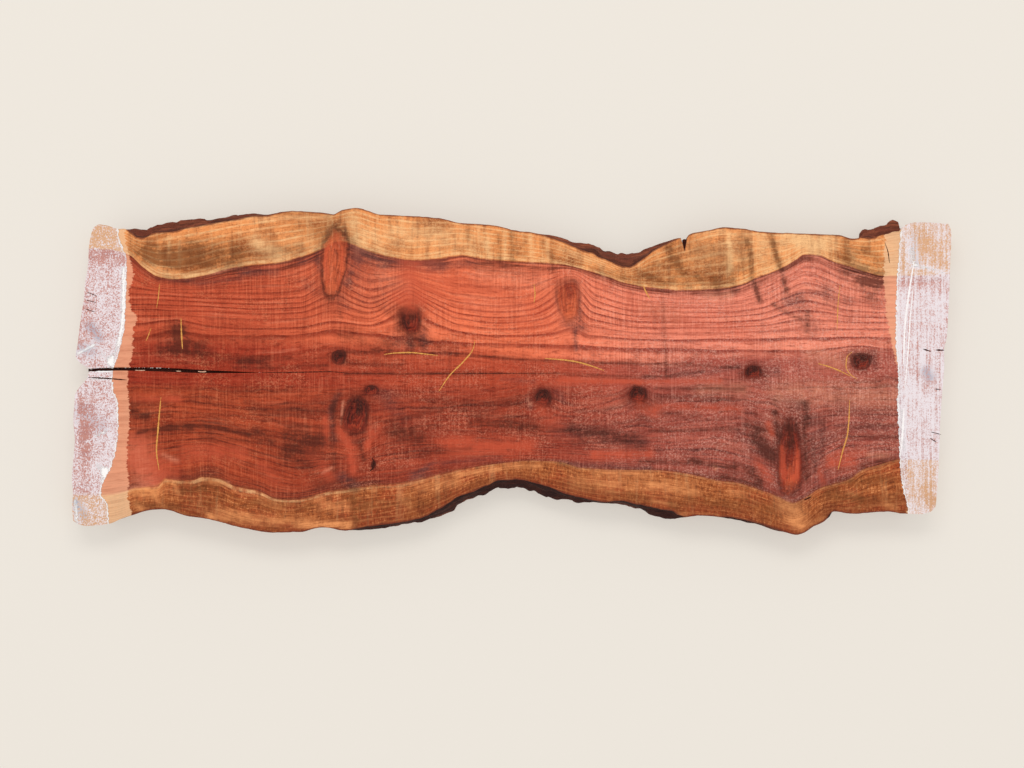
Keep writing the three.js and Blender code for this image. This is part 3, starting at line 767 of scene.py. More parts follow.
def face_ids(builder, ring, height, step):
    """Adds a flat face's points and returns its two grids of ids and its rim's ids, in ring order."""
    far_half, near_half = face_halves(ring, step)
    tip = TIP_COLUMN // step
    rows = HALF_ROWS // step
    lift = np.full(far_half.shape[:2] + (1,), height)
    far_ids = builder.add(np.concatenate([far_half, lift], axis=2)).reshape(far_half.shape[:2])
    near_points = np.concatenate([near_half, lift], axis=2)
    near_ids = np.empty(near_half.shape[:2], int)
    near_ids[1:] = builder.add(near_points[1:]).reshape(rows, -1)
    near_ids[0, :tip] = builder.add(near_points[0, :tip])
    near_ids[0, tip:] = far_ids[0, tip:]
    rim = np.concatenate([
        near_ids[rows, :-1], near_ids[rows:0:-1, -1], far_ids[:rows, -1], far_ids[rows, :0:-1],
        far_ids[rows:0:-1, 0], far_ids[0, :tip], near_ids[0, tip:0:-1], near_ids[:rows, 0],
    ])
    return far_ids, near_ids, rim


def slab_surface():
    """The slab's fine closed surface: points, faces, each face's part, and each point's bark width."""
    depths = np.linspace(0, 1, EDGE_ROWS + 1)
    rings = np.array([fine_ring(depth) for depth in depths])
    bark = bark_widths(rings)
    rings = roughen(rings, bark)
    builder = Builder()
    top_far, top_near, top_rim = face_ids(builder, rings[0], THICKNESS, 1)
    low_far, low_near, low_rim = face_ids(builder, rings[-1], 0.0, 2)
    builder.grid(top_far, TOP, False)
    builder.grid(top_near, TOP, True)
    builder.grid(low_far, UNDERSIDE, True)
    builder.grid(low_near, UNDERSIDE, False)
    parts = ring_parts()
    upper = top_rim
    for row in range(1, EDGE_ROWS):
        height = np.full((RING_SIZE, 1), THICKNESS * (1 - depths[row]))
        lower = builder.add(np.hstack([rings[row], height]))
        builder.quads(upper, lower, np.roll(lower, -1), np.roll(upper, -1), parts)
        upper = lower
    first, middle, last = upper[::2], upper[1::2], np.roll(upper, -2)[::2]
    below, below_next = low_rim, np.roll(low_rim, -1)
    for corners in ((first, below, middle), (middle, below, below_next), (middle, below_next, last)):
        builder.faces.extend(np.column_stack(corners).tolist())
        builder.parts.extend(parts[::2].tolist())
    points = np.vstack(builder.points)
    width = np.zeros(len(points))
    width[top_rim] = bark
    width[low_rim] = bark[::2]
    sides = np.arange(low_rim.max() + 1, builder.count)
    width[sides] = np.tile(bark, EDGE_ROWS - 1)
    return points, builder.faces, np.array(builder.parts), width


def signed_ring(x, y):
    """Ring number at a place on the top face: above 0 towards the far edge, below 0 towards the near one."""
    numbers = [-number for number, _ in NEAR_RINGS[::-1]] + [0] + [number for number, _ in FAR_RINGS]
    lines = [photo_line(line) for _, line in NEAR_RINGS[::-1]]
    lines += [pith_line] + [photo_line(line) for _, line in FAR_RINGS]
    heights = np.array([line(x) for line in lines])
    heights = np.maximum.accumulate(heights + np.arange(len(lines))[:, None] * NO_DISTANCE, axis=0)
    numbers = np.array(numbers, float)
    span = np.diff(heights, axis=0)
    chord = np.diff(numbers)[:, None] / span
    slopes = np.vstack([chord[:1], 2 * chord[:-1] * chord[1:] / (chord[:-1] + chord[1:]), chord[-1:]])
    index = np.sum(y[None] > heights[1:-1], axis=0)
    columns = np.arange(len(x))
    width = span[index, columns]
    t = (y - heights[index, columns]) / width
    beyond = np.where(t > 1, t - 1, np.minimum(t, 0))
    t = np.clip(t, 0, 1)
    blend = t * t * (3 - 2 * t)
    value = numbers[index] * (1 - blend) + numbers[index + 1] * blend
    start, end = slopes[index, columns], slopes[index + 1, columns]
    value += width * (start * t * (1 - t) ** 2 - end * t * t * (1 - t))
    return value + beyond * width * np.where(beyond > 0, end, start)


# Below the pith, rings pass from the near side's numbers to the far side's within this share of the way
TURN_OVER = 0.75


def growth(points):
    """Ring number and way round the pith for every point, from the rings that the top face shows."""
    x, y, z = points.T
    pith = pith_line(x)
    reach = np.hypot(y - pith, THICKNESS - z)
    far = signed_ring(x, pith + reach)
    near = -signed_ring(x, pith - reach)
    way = (y - pith) / np.maximum(reach, NO_DISTANCE)
    way = np.where(reach < NO_DISTANCE, 0, way)
    round_pith = reach * np.arcsin(np.clip(1 - np.abs(way), 0, 1))
    return near + (far - near) * smooth_step(-TURN_OVER, TURN_OVER, way), round_pith


# Distances from knots, in half widths of the knot, stop at this. The flare widens a knot's outer end.
NO_KNOT = 9.0
KNOT_FLARE = 0.17
FLARE_END = 1.2


def knot_fields(points, knots):
    """Distance from the nearest knot, where 1 is its outline, the place in that knot, and its look.

    A knot is a cut branch, so its end towards the bark is the wider one."""
    nearest = np.full(len(points), NO_KNOT)
    local = np.zeros((len(points), 3))
    look = np.zeros((len(points), 3))
    for centre, half_width, half_height, lean, *tones in knots:
        offset = points[:, :2] - place(centre)
        angle = math.radians(lean)
        across = offset[:, 0] * math.cos(angle) - offset[:, 1] * math.sin(angle)
        up = offset[:, 0] * math.sin(angle) + offset[:, 1] * math.cos(angle)
        across = across / (half_width * METRES_PER_PIXEL)
        up = up / (half_height * METRES_PER_PIXEL)
        outward = math.copysign(1, place(centre)[1] - pith_line(place(centre)[0]))
        across *= 1 - KNOT_FLARE * outward * np.clip(up, -FLARE_END, FLARE_END)
        powers = np.abs(across) ** KNOT_BLUNTNESS + np.abs(up) ** KNOT_BLUNTNESS
        distance = powers ** (1 / KNOT_BLUNTNESS)
        closer = distance < nearest
        nearest = np.where(closer, distance, nearest)
        local[closer] = np.column_stack([across, up, np.zeros(len(up))])[closer]
        look[closer] = tones
    return nearest, local, look


def stroke_field(points, strokes):
    """How strongly a list of strokes tints each point."""
    tint = np.zeros(len(points))
    for line, half_width, strength in strokes:
        corners = place(line)
        gap = np.full(len(points), np.inf)
        for a, b in zip(corners[:-1], corners[1:]):
            along = np.clip((points[:, :2] - a) @ (b - a) / max(np.dot(b - a, b - a), TINY), 0, 1)
            gap = np.minimum(gap, np.linalg.norm(points[:, :2] - a - along[:, None] * (b - a), axis=1))
        tint += strength * np.exp(-(gap / (half_width * METRES_PER_PIXEL)) ** 2)
    return tint


def rim_distance(points):
    """How far in from the live edge each point of the top face lies, in metres."""
    near = side_line(levels[0, :, :2], NEAR_LEFT, NEAR_RIGHT, "x")[0]
    far = side_line(levels[0, :, :2], FAR_RIGHT, FAR_LEFT, "x")[0]
    x, y = points[:, 0], points[:, 1]
    from_far = far(x) + edge_fill(x, FAR_FILL) - y
    return np.minimum(from_far, y - near(x) + edge_fill(x, NEAR_FILL))


def end_coat(points):
    """How far inside the wax, and inside the dry wood, each point lies, in metres."""
    x, y = points[:, 0], points[:, 1]
    wax = np.maximum(photo_line(WAX_EDGE_LEFT, "y")(y) - x, x - photo_line(WAX_EDGE_RIGHT, "y")(y))
    dry = np.maximum(photo_line(DRY_EDGE_LEFT, "y")(y) - x, x - photo_line(DRY_EDGE_RIGHT, "y")(y))
    return wax, dry


def add_field(mesh, name, values):
    """Stores a number or a vector for each point of a mesh, for the shader to read."""
    kind = "FLOAT_VECTOR" if np.ndim(values) > 1 else "FLOAT"
    field = mesh.attributes.new(name, kind, "POINT")
    key = "vector" if np.ndim(values) > 1 else "value"
    field.data.foreach_set(key, np.ascontiguousarray(values, np.float32).ravel())


# Strips of the slab's texture layout for each part of its surface: left, low, right, high
LAYOUT = {
    TOP: (0.006, 0.535, 0.994, 0.994),
    UNDERSIDE: (0.006, 0.215, 0.994, 0.525),
    FAR_SIDE: (0.006, 0.148, 0.994, 0.205),
    NEAR_SIDE: (0.006, 0.082, 0.994, 0.139),
    LEFT_CUT: (0.006, 0.014, 0.36, 0.071),
    RIGHT_CUT: (0.37, 0.014, 0.724, 0.071),
    CRACK_FAR: (0.735, 0.048, 0.994, 0.071),
    CRACK_NEAR: (0.735, 0.014, 0.994, 0.038),
}


def lay_out(mesh, points, parts):
    """Gives each part of the surface its own strip of the layout, seen square on."""
    corner_points = np.empty(len(mesh.loops), int)
    mesh.loops.foreach_get("vertex_index", corner_points)
    sizes = np.empty(len(mesh.polygons), int)
    mesh.polygons.foreach_get("loop_total", sizes)
    corner_parts = np.repeat(parts, sizes)
    spots = points[corner_points]
    uv = np.zeros((len(spots), 2))
    for part, (left, low, right, high) in LAYOUT.items():
        chosen = corner_parts == part
        flat = part in (TOP, UNDERSIDE)
        across = spots[chosen, 1 if part in (LEFT_CUT, RIGHT_CUT) else 0]
        up = spots[chosen, 1 if flat else 2]
        for axis, values, start, end in ((0, across, left, right), (1, up, low, high)):
            share = (values - values.min()) / (values.max() - values.min())
            uv[chosen, axis] = start + share * (end - start)
    layer = mesh.uv_layers.new(name="OFBake")
    layer.data.foreach_set("uv", uv.astype(np.float32).ravel())


RING_WIDTH = 10.5 * MM
FACE_SLACK = 0.5 * MM
# The finish that each part of the surface wears
WORN = {
    TOP: "top", UNDERSIDE: "underside", NEAR_SIDE: "live edge", FAR_SIDE: "live edge",
    LEFT_CUT: "end cut", RIGHT_CUT: "end cut", CRACK_FAR: "crack wall", CRACK_NEAR: "crack wall",
}
# Rings bend round a knot by this many rings. On top they are drawn bent already.
TOP_BEND = 0.15
UNDERSIDE_BEND = 1.6
BEND_SPREAD = 0.5
BEND_END = 3
OFF_THE_RIM = 1.0
TINTS = {
    "umber": UMBER_STROKES, "grey": GREY_STROKES, "bright": BRIGHT_STROKES, "cream": CREAM_STROKES,
    "wax_load": WAX_STROKES,
}


def make_slab(finishes):
    """The slab: its fine mesh, its layout, and the fields that its finishes read."""
    points, faces, parts, bark = slab_surface()
    mesh = bpy.data.meshes.new("redwood_slab")
    mesh.from_pydata(points.tolist(), [], faces)
    for finish in finishes.values():
        mesh.materials.append(finish)
    names = list(finishes)
    slots = np.array([names.index(WORN[part]) for part in range(len(WORN))])
    mesh.polygons.foreach_set("material_index", slots[parts].astype(np.int32))
    smooth = np.isin(parts, (NEAR_SIDE, FAR_SIDE))
    mesh.polygons.foreach_set("use_smooth", smooth)
    on_top = points[:, 2] > THICKNESS - FACE_SLACK
    underneath = points[:, 2] < FACE_SLACK
    ring, round_pith = growth(points)
    knot, knot_place, knot_look = knot_fields(points, KNOTS)
    low_knot, low_knot_place, low_knot_look = knot_fields(points, UNDERSIDE_KNOTS)
    knot = np.where(on_top, knot, np.where(underneath, low_knot, NO_KNOT))
    knot_place = np.where(on_top[:, None], knot_place, low_knot_place)
    knot_look = np.where(on_top[:, None], knot_look, low_knot_look)
    swell = np.exp(-np.maximum(knot - 1, 0) ** 2 / BEND_SPREAD) * np.clip(BEND_END - knot, 0, 1)
    ring = ring - np.where(underneath, UNDERSIDE_BEND, TOP_BEND) * swell * np.sign(points[:, 1] + MM)
    wax, dry = end_coat(points)
    add_field(mesh, "ring", ring)
    add_field(mesh, "grain", np.column_stack([points[:, 0], ring * RING_WIDTH, round_pith]))
    add_field(mesh, "from_pith", points[:, 1] - pith_line(points[:, 0]))
    add_field(mesh, "knot", knot)
    add_field(mesh, "knot_place", knot_place)
    add_field(mesh, "knot_look", knot_look)
    for name, strokes in TINTS.items():
        add_field(mesh, name, np.where(on_top, stroke_field(points, strokes), 0))
    add_field(mesh, "wax", wax)
    add_field(mesh, "dry", dry)
    add_field(mesh, "rim", np.where(on_top, rim_distance(points), OFF_THE_RIM))
    add_field(mesh, "bark", bark)
    lay_out(mesh, points, parts)
    mesh.validate()
    slab = bpy.data.objects.new("redwood_slab", mesh)
    bpy.context.scene.collection.objects.link(slab)
    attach(slab, "root")
    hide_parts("slab")
    return slab


def colour(code):
    """A colour written as six hex digits, as the shader's own linear numbers, by the sRGB rule."""
    parts = [int(code[start:start + 2], 16) / 255 for start in (0, 2, 4)]
    linear = [part / 12.92 if part <= 0.04045 else ((part + 0.055) / 1.055) ** 2.4 for part in parts]
    return (*linear, 1.0)


class Recipe:
    """Adds nodes to a tree. A value is a number, a tuple, a colour or another node's output."""

    def __init__(self, tree):
        self.tree = tree

    def feed(self, socket, value):
        if isinstance(value, bpy.types.NodeSocket):
            self.tree.links.new(value, socket)
        elif value is not None:
            socket.default_value = value

    def node(self, kind, settings=(), **feeds):
        made = self.tree.nodes.new(kind)
        for name, value in dict(settings).items():
            setattr(made, name, value)
        for name, value in feeds.items():
            self.feed(made.inputs[name.replace("_", " ")], value)
        return made

    def field(self, name, outlet="Fac"):
        return self.node("ShaderNodeAttribute", {"attribute_name": name}).outputs[outlet]

    def part_of(self, vector, axis):
        return self.node("ShaderNodeSeparateXYZ", Vector=vector).outputs[axis]

    def sum(self, operation, a, b=None, c=None):
        made = self.node("ShaderNodeMath", {"operation": operation})
        for socket, value in zip(made.inputs, (a, b, c)):
            self.feed(socket, value)
        return made.outputs[0]

    def times(self, a, b):
        return self.sum("MULTIPLY", a, b)

    def plus(self, a, b):
        return self.sum("ADD", a, b)

    def rest_of(self, a):
        return self.sum("SUBTRACT", 1.0, a)

    def larger(self, a, b):
        return self.sum("MAXIMUM", a, b)

    def sway(self, noise, amount):
        """A noise's swing to either side of nothing."""
        return self.times(self.plus(noise, -0.5), amount)

    def stretch(self, vector, factors):
        made = self.node("ShaderNodeVectorMath", {"operation": "MULTIPLY"})
        self.feed(made.inputs[0], vector)
        made.inputs[1].default_value = factors
        return made.outputs[0]

    def noise(self, vector, factors, detail=2.0, roughness=0.5):
        """Soft random values. The factors are how many cells of it fit in a metre each way."""
        made = self.node(
            "ShaderNodeTexNoise", Vector=self.stretch(vector, factors), Scale=1.0, Detail=detail,
            Roughness=roughness)
        return made.outputs["Fac"]

    def one_per_number(self, value):
        """A random number for each whole number that the value is in."""
        kind = {"noise_dimensions": "1D"}
        return self.node("ShaderNodeTexWhiteNoise", kind, W=self.sum("FLOOR", value)).outputs["Value"]

    def spread(self, value, low, high, start=0.0, end=1.0, kind="SMOOTHSTEP"):
        """From the start number to the end number as a value goes from low to high, with soft ends."""
        made = self.node(
            "ShaderNodeMapRange", {"interpolation_type": kind, "clamp": True}, Value=value)
        for name, number in (("From Min", low), ("From Max", high), ("To Min", start), ("To Max", end)):
            made.inputs[name].default_value = number
        return made.outputs["Result"]

    def ramp(self, value, low, high, start, end):
        """The same as a spread, but straight."""
        return self.spread(value, low, high, start, end, "LINEAR")

    def between(self, share, start, end):
        """From the start number to the end number as a share goes from 0 to 1."""
        return self.ramp(share, 0.0, 1.0, start, end)

    def mix(self, share, a, b, blend="MIX"):
        made = self.node("ShaderNodeMix", {"data_type": "RGBA", "blend_type": blend})
        self.feed(made.inputs[0], share)
        self.feed(made.inputs[6], a)
        self.feed(made.inputs[7], b)
        return made.outputs[2]

    def shade(self, share, a, b):
        """Darkens a colour by multiplying it with another."""
        return self.mix(share, a, b, "MULTIPLY")

    def band(self, value, rise_from, rise_to, fall_from, fall_to):
        """1 between two edges of a value, with soft shoulders."""
        rise = self.spread(value, rise_from, rise_to)
        fall = self.spread(value, fall_from, fall_to, 1.0, 0.0)
        return self.times(rise, fall)


# Colours of the heartwood at the left, in the middle and at the right of the slab
HEART_FAR = ("cc5636", "fa7c53", "fb9175")
HEART_NEAR = ("b84a28", "b0442a", "b65a49")
HEART_PITH = ("9f2d1a", "c04b2e", "b85a4b")
HEART_NEAR_DARK = ("6a2414", "621f16", "6c3029")
RING_DARK = ("82230f", "98301c", "92362a")
# Painted glints on the heartwood, at the left, in the middle and at the right
PAINTED_GLINT = ("f0986c", "f6a382", "f8bca9")
# Single colours of the wood, the knots, the wax and the bark
# Pale heartwood, also the colour of the painted sheen on pale streaks along the grain
HEART_GLINT = colour("f7a583")
HEART_CLEAR = colour("cd5538")
UMBER = colour("451c12")
UMBER_SAP = colour("6f3d1c")
BLOOM = colour("613836")
KNOT_HALO = colour("6b2519")
BLOOM_SAP = colour("7d5236")
EDGE_PURPLE = colour("672a1d")
SAP_AMBER = colour("f69c5b")
SAP_NEAR = colour("ad4c27")
SAP_OLIVE = colour("a6582a")
SAP_CREAM = colour("ffc98e")
SAP_PALE_NEAR = colour("f09d62")
SAP_BROWN = colour("6e2f14")
KNOT_ORANGE = colour("e0683e")
KNOT_RED = colour("8c2a1a")
KNOT_BLACK = colour("35120e")
DRY_WOOD = colour("f2aa86")
DRY_SAP = colour("f3c397")
WAX_LILAC = colour("f0e7ec")
WAX_WHITE = colour("fffcfb")
WAX_BLUE = colour("9aa3b8")
BARK_DARK = colour("34150f")
BARK_NEAR_DARK = colour("201011")
BARE_WOOD = colour("cf9a72")
BARK_BROWN = colour("6a3022")
BARK_RED = colour("9c5438")
BARK_FUZZ = colour("a46a4c")
CAMBIUM = colour("8d5436")
CAMBIUM_PALE = colour("bf7c4c")
# Shades that darken the wood by multiplying it
# The first is painted shade in the low places of the saw threads
THREAD_SHADE = colour("9a7468")
FIBRE_SHADE = colour("93685c")
GRIT_SHADE = colour("8a5e58")
BAR_SHADE = colour("9a6a58")
DRY_SHADE = colour("c08a70")
# The wood seen through the wax, and the painted shade of gaps and of the crack's walls
UNDER_WAX_HEART = colour("9c5f6a")
UNDER_WAX_SAP = colour("c98f58")
GAP_SHADE = colour("240d08")

GROUP_OUTLETS = {"Colour": "NodeSocketColor", "Roughness": "NodeSocketFloat", "Relief": "NodeSocketFloat"}
WAX_ROUGHNESS = 0.45
# Where along the slab, in metres, the three-part colours pass into each other
LEFT_TO_MIDDLE = (-0.52, -0.12)
MIDDLE_TO_RIGHT = (-0.02, 0.34)


def redwood_group():
    """Sawn redwood on any cut through the slab: heart, rings, sapwood, knots, dry ends and wax.

    A spread gives the two values between which something comes in, and then how strong it is at each."""
    tree = bpy.data.node_groups.new("sawn redwood", "ShaderNodeTree")
    for name, kind in GROUP_OUTLETS.items():
        tree.interface.new_socket(name, in_out="OUTPUT", socket_type=kind)
    r = Recipe(tree)
    out = tree.nodes.new("NodeGroupOutput")
    spot = r.node("ShaderNodeTexCoord").outputs["Object"]
    grain = r.field("grain", "Vector")
    from_pith = r.field("from_pith")
    knot = r.field("knot")
    x_along = r.part_of(spot, "X")

    blotch = r.noise(spot, (14.0, 22.0, 22.0), 3.0, 0.6)
    patch_noise = r.noise(spot, (60.0, 75.0, 75.0), 3.0, 0.65)
    streak = r.noise(grain, (9.0, 190.0, 190.0), 3.0, 0.6)
    fibre = r.noise(grain, (45.0, 480.0, 480.0), 2.0, 0.6)
    wander = r.noise(grain, (16.0, 70.0, 70.0), 3.0, 0.55)
    left_half = r.spread(x_along, -0.12, 0.06, 1.0, 0.0)
    thread = r.noise(spot, (430.0, 16.0, 16.0), 1.0, 0.5)
    thread_zone = r.noise(spot, (17.0, 24.0, 24.0), 2.0, 0.6)
    glint_speckle = r.noise(spot, (360.0, 400.0, 400.0), 2.0, 0.7)
    grit = r.noise(spot, (230.0, 260.0, 260.0), 3.0, 0.75)

    def along(codes):
        """One of the three-part colours, blended from the left end to the right end."""
        left, middle, right = (colour(code) for code in codes)
        first = r.mix(r.spread(x_along, *LEFT_TO_MIDDLE), left, middle)
        return r.mix(r.spread(x_along, *MIDDLE_TO_RIGHT), first, right)

    far_side = r.spread(r.plus(from_pith, r.sway(blotch, 0.02)), 0.008, 0.030)
    near_side = r.rest_of(far_side)

    # Growth rings: a thin dark line of late wood far from the viewer, broad streaky bands near them
    ring = r.plus(r.field("ring"), r.sway(wander, r.between(far_side, 1.3, 0.35)))
    phase = r.sum("FRACT", ring)
    thin_line = r.band(phase, 0.52, 0.86, 0.93, 1.0)
    thin_line = r.times(thin_line, r.between(r.one_per_number(ring), 0.62, 1.0))
    thin_line = r.times(thin_line, r.spread(blotch, 0.34, 0.60, 0.7, 1.0))
    outer_fade = r.spread(ring, 7.5, 11.0, 1.0, 0.58)
    knot_fade = r.spread(knot, 1.0, 1.7, 0.35, 1.0)
    thin_line = r.times(r.times(thin_line, outer_fade), r.times(far_side, knot_fade))
    broad = r.noise(grain, (5.0, 105.0, 105.0), 4.0, 0.68)
    broad = r.spread(broad, 0.40, 0.60)
    half_ring = r.times(r.plus(ring, r.sway(streak, 0.34)), 2.0)
    near_line = r.band(r.sum("FRACT", half_ring), 0.2, 0.7, 0.8, 1.0)
    near_line = r.times(near_line, r.ramp(r.one_per_number(half_ring), 0.1, 1.0, 0.15, 1.0))
    near_line = r.times(near_line, r.spread(wander, 0.36, 0.60, 0.4, 1.0))
    near_dark = r.times(r.plus(r.times(broad, 0.40), r.times(near_line, 0.78)), near_side)

    heart = r.mix(far_side, along(HEART_NEAR), along(HEART_FAR))
    heart = r.mix(near_dark, heart, along(HEART_NEAR_DARK))
    pith_shift = r.times(r.times(far_side, left_half), -0.026)
    pith_near = r.plus(r.plus(from_pith, r.sway(streak, 0.012)), pith_shift)
    pith_near = r.band(pith_near, -0.034, -0.016, 0.014, 0.036)
    heart = r.mix(r.times(pith_near, 0.8), heart, along(HEART_PITH))
    heart = r.mix(r.spread(streak, 0.42, 0.66, 0.0, 0.42), heart, along(RING_DARK))
    # Pale streaks on the far side are painted sheen along the grain
    streak_sheen = r.times(r.spread(streak, 0.30, 0.46, 0.22, 0.0), r.between(far_side, 0.35, 1.0))
    heart = r.mix(streak_sheen, heart, HEART_GLINT)
    heart = r.mix(thin_line, heart, along(RING_DARK))

    # Sapwood: amber with cream growth lines, shaded in bars across the grain
    bars = r.noise(spot, (85.0, 9.0, 9.0), 3.0, 0.6)
    sap = r.mix(far_side, SAP_NEAR, SAP_AMBER)
    sap = r.mix(r.spread(r.plus(blotch, r.times(near_side, 0.07)), 0.46, 0.66, 0.0, 0.85), sap, SAP_OLIVE)
    sap = r.mix(r.spread(bars, 0.48, 0.70, 0.0, 0.38), sap, SAP_BROWN)
    sap_phase = r.sum("FRACT", r.times(r.plus(ring, r.sway(wander, 0.8)), 0.56))
    sap_line = r.band(sap_phase, 0.36, 0.60, 0.66, 0.84)
    sap_line = r.times(sap_line, r.spread(patch_noise, 0.34, 0.58, 0.30, 1.0))
    sap_line = r.times(sap_line, r.spread(blotch, 0.40, 0.60, 1.0, 0.5))
    mottle = r.noise(spot, (230.0, 75.0, 75.0), 4.0, 0.75)
    mottle = r.plus(r.times(mottle, 0.5), r.times(r.noise(grain, (42.0, 230.0, 230.0), 4.0, 0.75), 0.5))
    sap = r.mix(r.times(r.spread(mottle, 0.50, 0.59), r.between(near_side, 0.36, 0.95)), sap, SAP_BROWN)
    sap = r.mix(r.times(r.spread(mottle, 0.39, 0.47, 0.85, 0.0), near_side), sap, SAP_PALE_NEAR)
    pale_bars = r.times(r.spread(bars, 0.30, 0.44, 0.36, 0.0), r.spread(far_side, 0.0, 1.0, 0.5, 1.0))
    sap = r.mix(pale_bars, sap, SAP_CREAM)
    line_colour = r.mix(near_side, SAP_CREAM, SAP_PALE_NEAR)
    sap = r.mix(r.times(sap_line, r.between(far_side, 0.42, 0.80)), sap, line_colour)
    sap = r.mix(r.times(r.band(ring, 21.0, 24.0, 40.0, 41.0), r.times(near_side, 0.42)), sap, SAP_BROWN)
    past_heart = r.plus(r.plus(ring, -HEART_RINGS), r.sway(patch_noise, 0.6))
    in_sap = r.spread(r.times(past_heart, r.between(near_side, 0.75, 0.3)), -0.12, 0.16)

    # The dark edge of the heartwood
    edge = r.band(ring, HEART_RINGS - 2.3, HEART_RINGS - 0.7, HEART_RINGS - 0.02, HEART_RINGS + 0.15)
    edge = r.times(edge, r.spread(blotch, 0.36, 0.58, 0.35, 0.85))
    edge = r.times(edge, r.spread(streak, 0.38, 0.58, 0.4, 1.05))
    edge_line = r.band(ring, HEART_RINGS - 0.55, HEART_RINGS - 0.15, HEART_RINGS + 0.02, HEART_RINGS + 0.2)
    heart = r.mix(r.larger(edge, r.times(edge_line, 0.75)), heart, EDGE_PURPLE)
    pale_lip = r.band(ring, HEART_RINGS + 0.05, HEART_RINGS + 0.3, HEART_RINGS + 0.6, HEART_RINGS + 1.1)
    pale_lip = r.times(pale_lip, r.larger(far_side, r.spread(x_along, -0.34, -0.22, 0.8, 0.3)))
    sap = r.mix(r.times(pale_lip, r.spread(patch_noise, 0.35, 0.6, 0.2, 0.75)), sap, SAP_CREAM)
    wood = r.mix(in_sap, heart, sap)

    # Listed tints, broken up along the grain
    broken = r.plus(r.times(streak, 0.9), r.plus(r.times(patch_noise, 1.1), r.times(grit, 0.5)))
    broken = r.ramp(broken, 1.00, 1.50, 0.35, 1.60)

    def tint(base, name, heart_colour, sap_colour, most):
        strength = r.sum("MINIMUM", r.times(r.field(name), broken), most)
        return r.mix(strength, base, r.mix(in_sap, heart_colour, sap_colour))

    wood = tint(wood, "grey", BLOOM, BLOOM_SAP, 0.75)

    # Pale sapwood, the colour of the cream strokes and of the painted glints in the sapwood
    sap_pale_and_glint = r.mix(near_side, SAP_CREAM, SAP_PALE_NEAR)
    wood = tint(wood, "cream", HEART_GLINT, sap_pale_and_glint, 0.9)

    # Knots: close rings of their own, a broken dark outline, and wood that darkens round them
    look = r.field("knot_look", "Vector")
    tone, outline, bloom = (r.part_of(look, axis) for axis in "XYZ")
    inside = r.field("knot_place", "Vector")
    swirl = r.noise(inside, (2.6, 0.9, 1.0), 3.0, 0.6)
    ragged = r.plus(knot, r.plus(r.sway(patch_noise, 0.5), r.sway(swirl, 0.35)))
    knot_rings = r.sum("FRACT", r.times(r.plus(ragged, r.times(swirl, 0.5)), 3.4))
    knot_tone = r.plus(tone, r.plus(r.sway(swirl, 1.3), r.times(r.part_of(inside, "Y"), -0.28)))
    knot_colour = r.mix(r.spread(knot_tone, 0.0, 0.45), KNOT_BLACK, KNOT_RED)
    knot_colour = r.mix(r.spread(knot_tone, 0.35, 1.0), knot_colour, KNOT_ORANGE)
    ring_depth = r.spread(tone, 0.2, 0.7, 0.6, 0.3)
    knot_colour = r.mix(r.times(r.band(knot_rings, 0.2, 0.8, 0.85, 1.0), ring_depth), knot_colour, KNOT_BLACK)
    knot_colour = r.mix(r.times(r.band(knot_rings, 0.0, 0.15, 0.25, 0.45), 0.07), knot_colour, KNOT_ORANGE)
    knot_grain = r.noise(inside, (8.0, 1.3, 1.0), 3.0, 0.7)
    knot_colour = r.mix(r.spread(knot_grain, 0.50, 0.68, 0.0, 0.5), knot_colour, KNOT_RED)
    knot_colour = r.mix(r.times(r.spread(knot_grain, 0.32, 0.46, 0.5, 0.0), tone), knot_colour, HEART_GLINT)
    halo = r.times(r.spread(ragged, 0.9, 2.1, 1.0, 0.0), bloom)
    wood = r.mix(halo, wood, r.mix(in_sap, KNOT_HALO, BLOOM_SAP))
    in_knot = r.times(r.spread(ragged, 0.75, 1.15, 1.0, 0.0), r.spread(tone, 0.4, 0.7, 1.0, 0.85))
    wood = r.mix(in_knot, wood, knot_colour)
    broken_line = r.spread(patch_noise, 0.36, 0.56, 0.6, 1.0)
    outline = r.times(r.times(outline, 0.85), broken_line)
    wood = r.mix(r.times(r.band(ragged, 0.84, 1.0, 1.05, 1.22), outline), wood, KNOT_BLACK)

    # Threads of the saw across the grain, with painted shade in their low places and painted glints on their
    # high places, raised fibres, and specks of painted glint
    thread_strength = r.spread(thread_zone, 0.36, 0.64, 0.25, 1.0)
    thread_strength = r.times(thread_strength, r.spread(in_sap, 0.0, 1.0, 1.0, 0.45))
    wood = r.shade(r.times(r.spread(thread, 0.60, 0.38), r.times(thread_strength, 0.30)), wood, THREAD_SHADE)
    painted_glint = r.times(r.spread(thread, 0.50, 0.76), r.times(thread_strength, 0.16))
    glint_zone = r.spread(r.plus(r.times(x_along, 0.22), r.sway(blotch, 1.2)), -0.12, 0.16, 0.25, 1.0)
    painted_glint = r.plus(painted_glint, r.times(r.spread(glint_speckle, 0.44, 0.72), r.times(glint_zone, 0.42)))
    painted_glint = r.times(painted_glint, r.spread(knot, 0.95, 1.3, 0.15, 1.0))
    painted_glint = r.times(painted_glint, r.spread(r.times(in_sap, near_side), 0.0, 1.0, 1.0, 0.5))
    painted_glint = r.times(painted_glint, r.spread(r.times(edge, far_side), 0.0, 0.8, 1.0, 0.25))
    wood = r.mix(painted_glint, wood, r.mix(in_sap, along(PAINTED_GLINT), sap_pale_and_glint))
    wood = r.shade(r.spread(fibre, 0.52, 0.70, 0.0, 0.5), wood, FIBRE_SHADE)
    wood = r.shade(r.spread(grit, 0.50, 0.74, 0.0, 0.45), wood, GRIT_SHADE)
    wood = tint(wood, "bright", HEART_CLEAR, SAP_AMBER, 0.62)
    wood = tint(wood, "umber", UMBER, UMBER_SAP, 0.76)
    wood = r.shade(r.spread(bars, 0.56, 0.72, 0.0, 0.20), wood, BAR_SHADE)

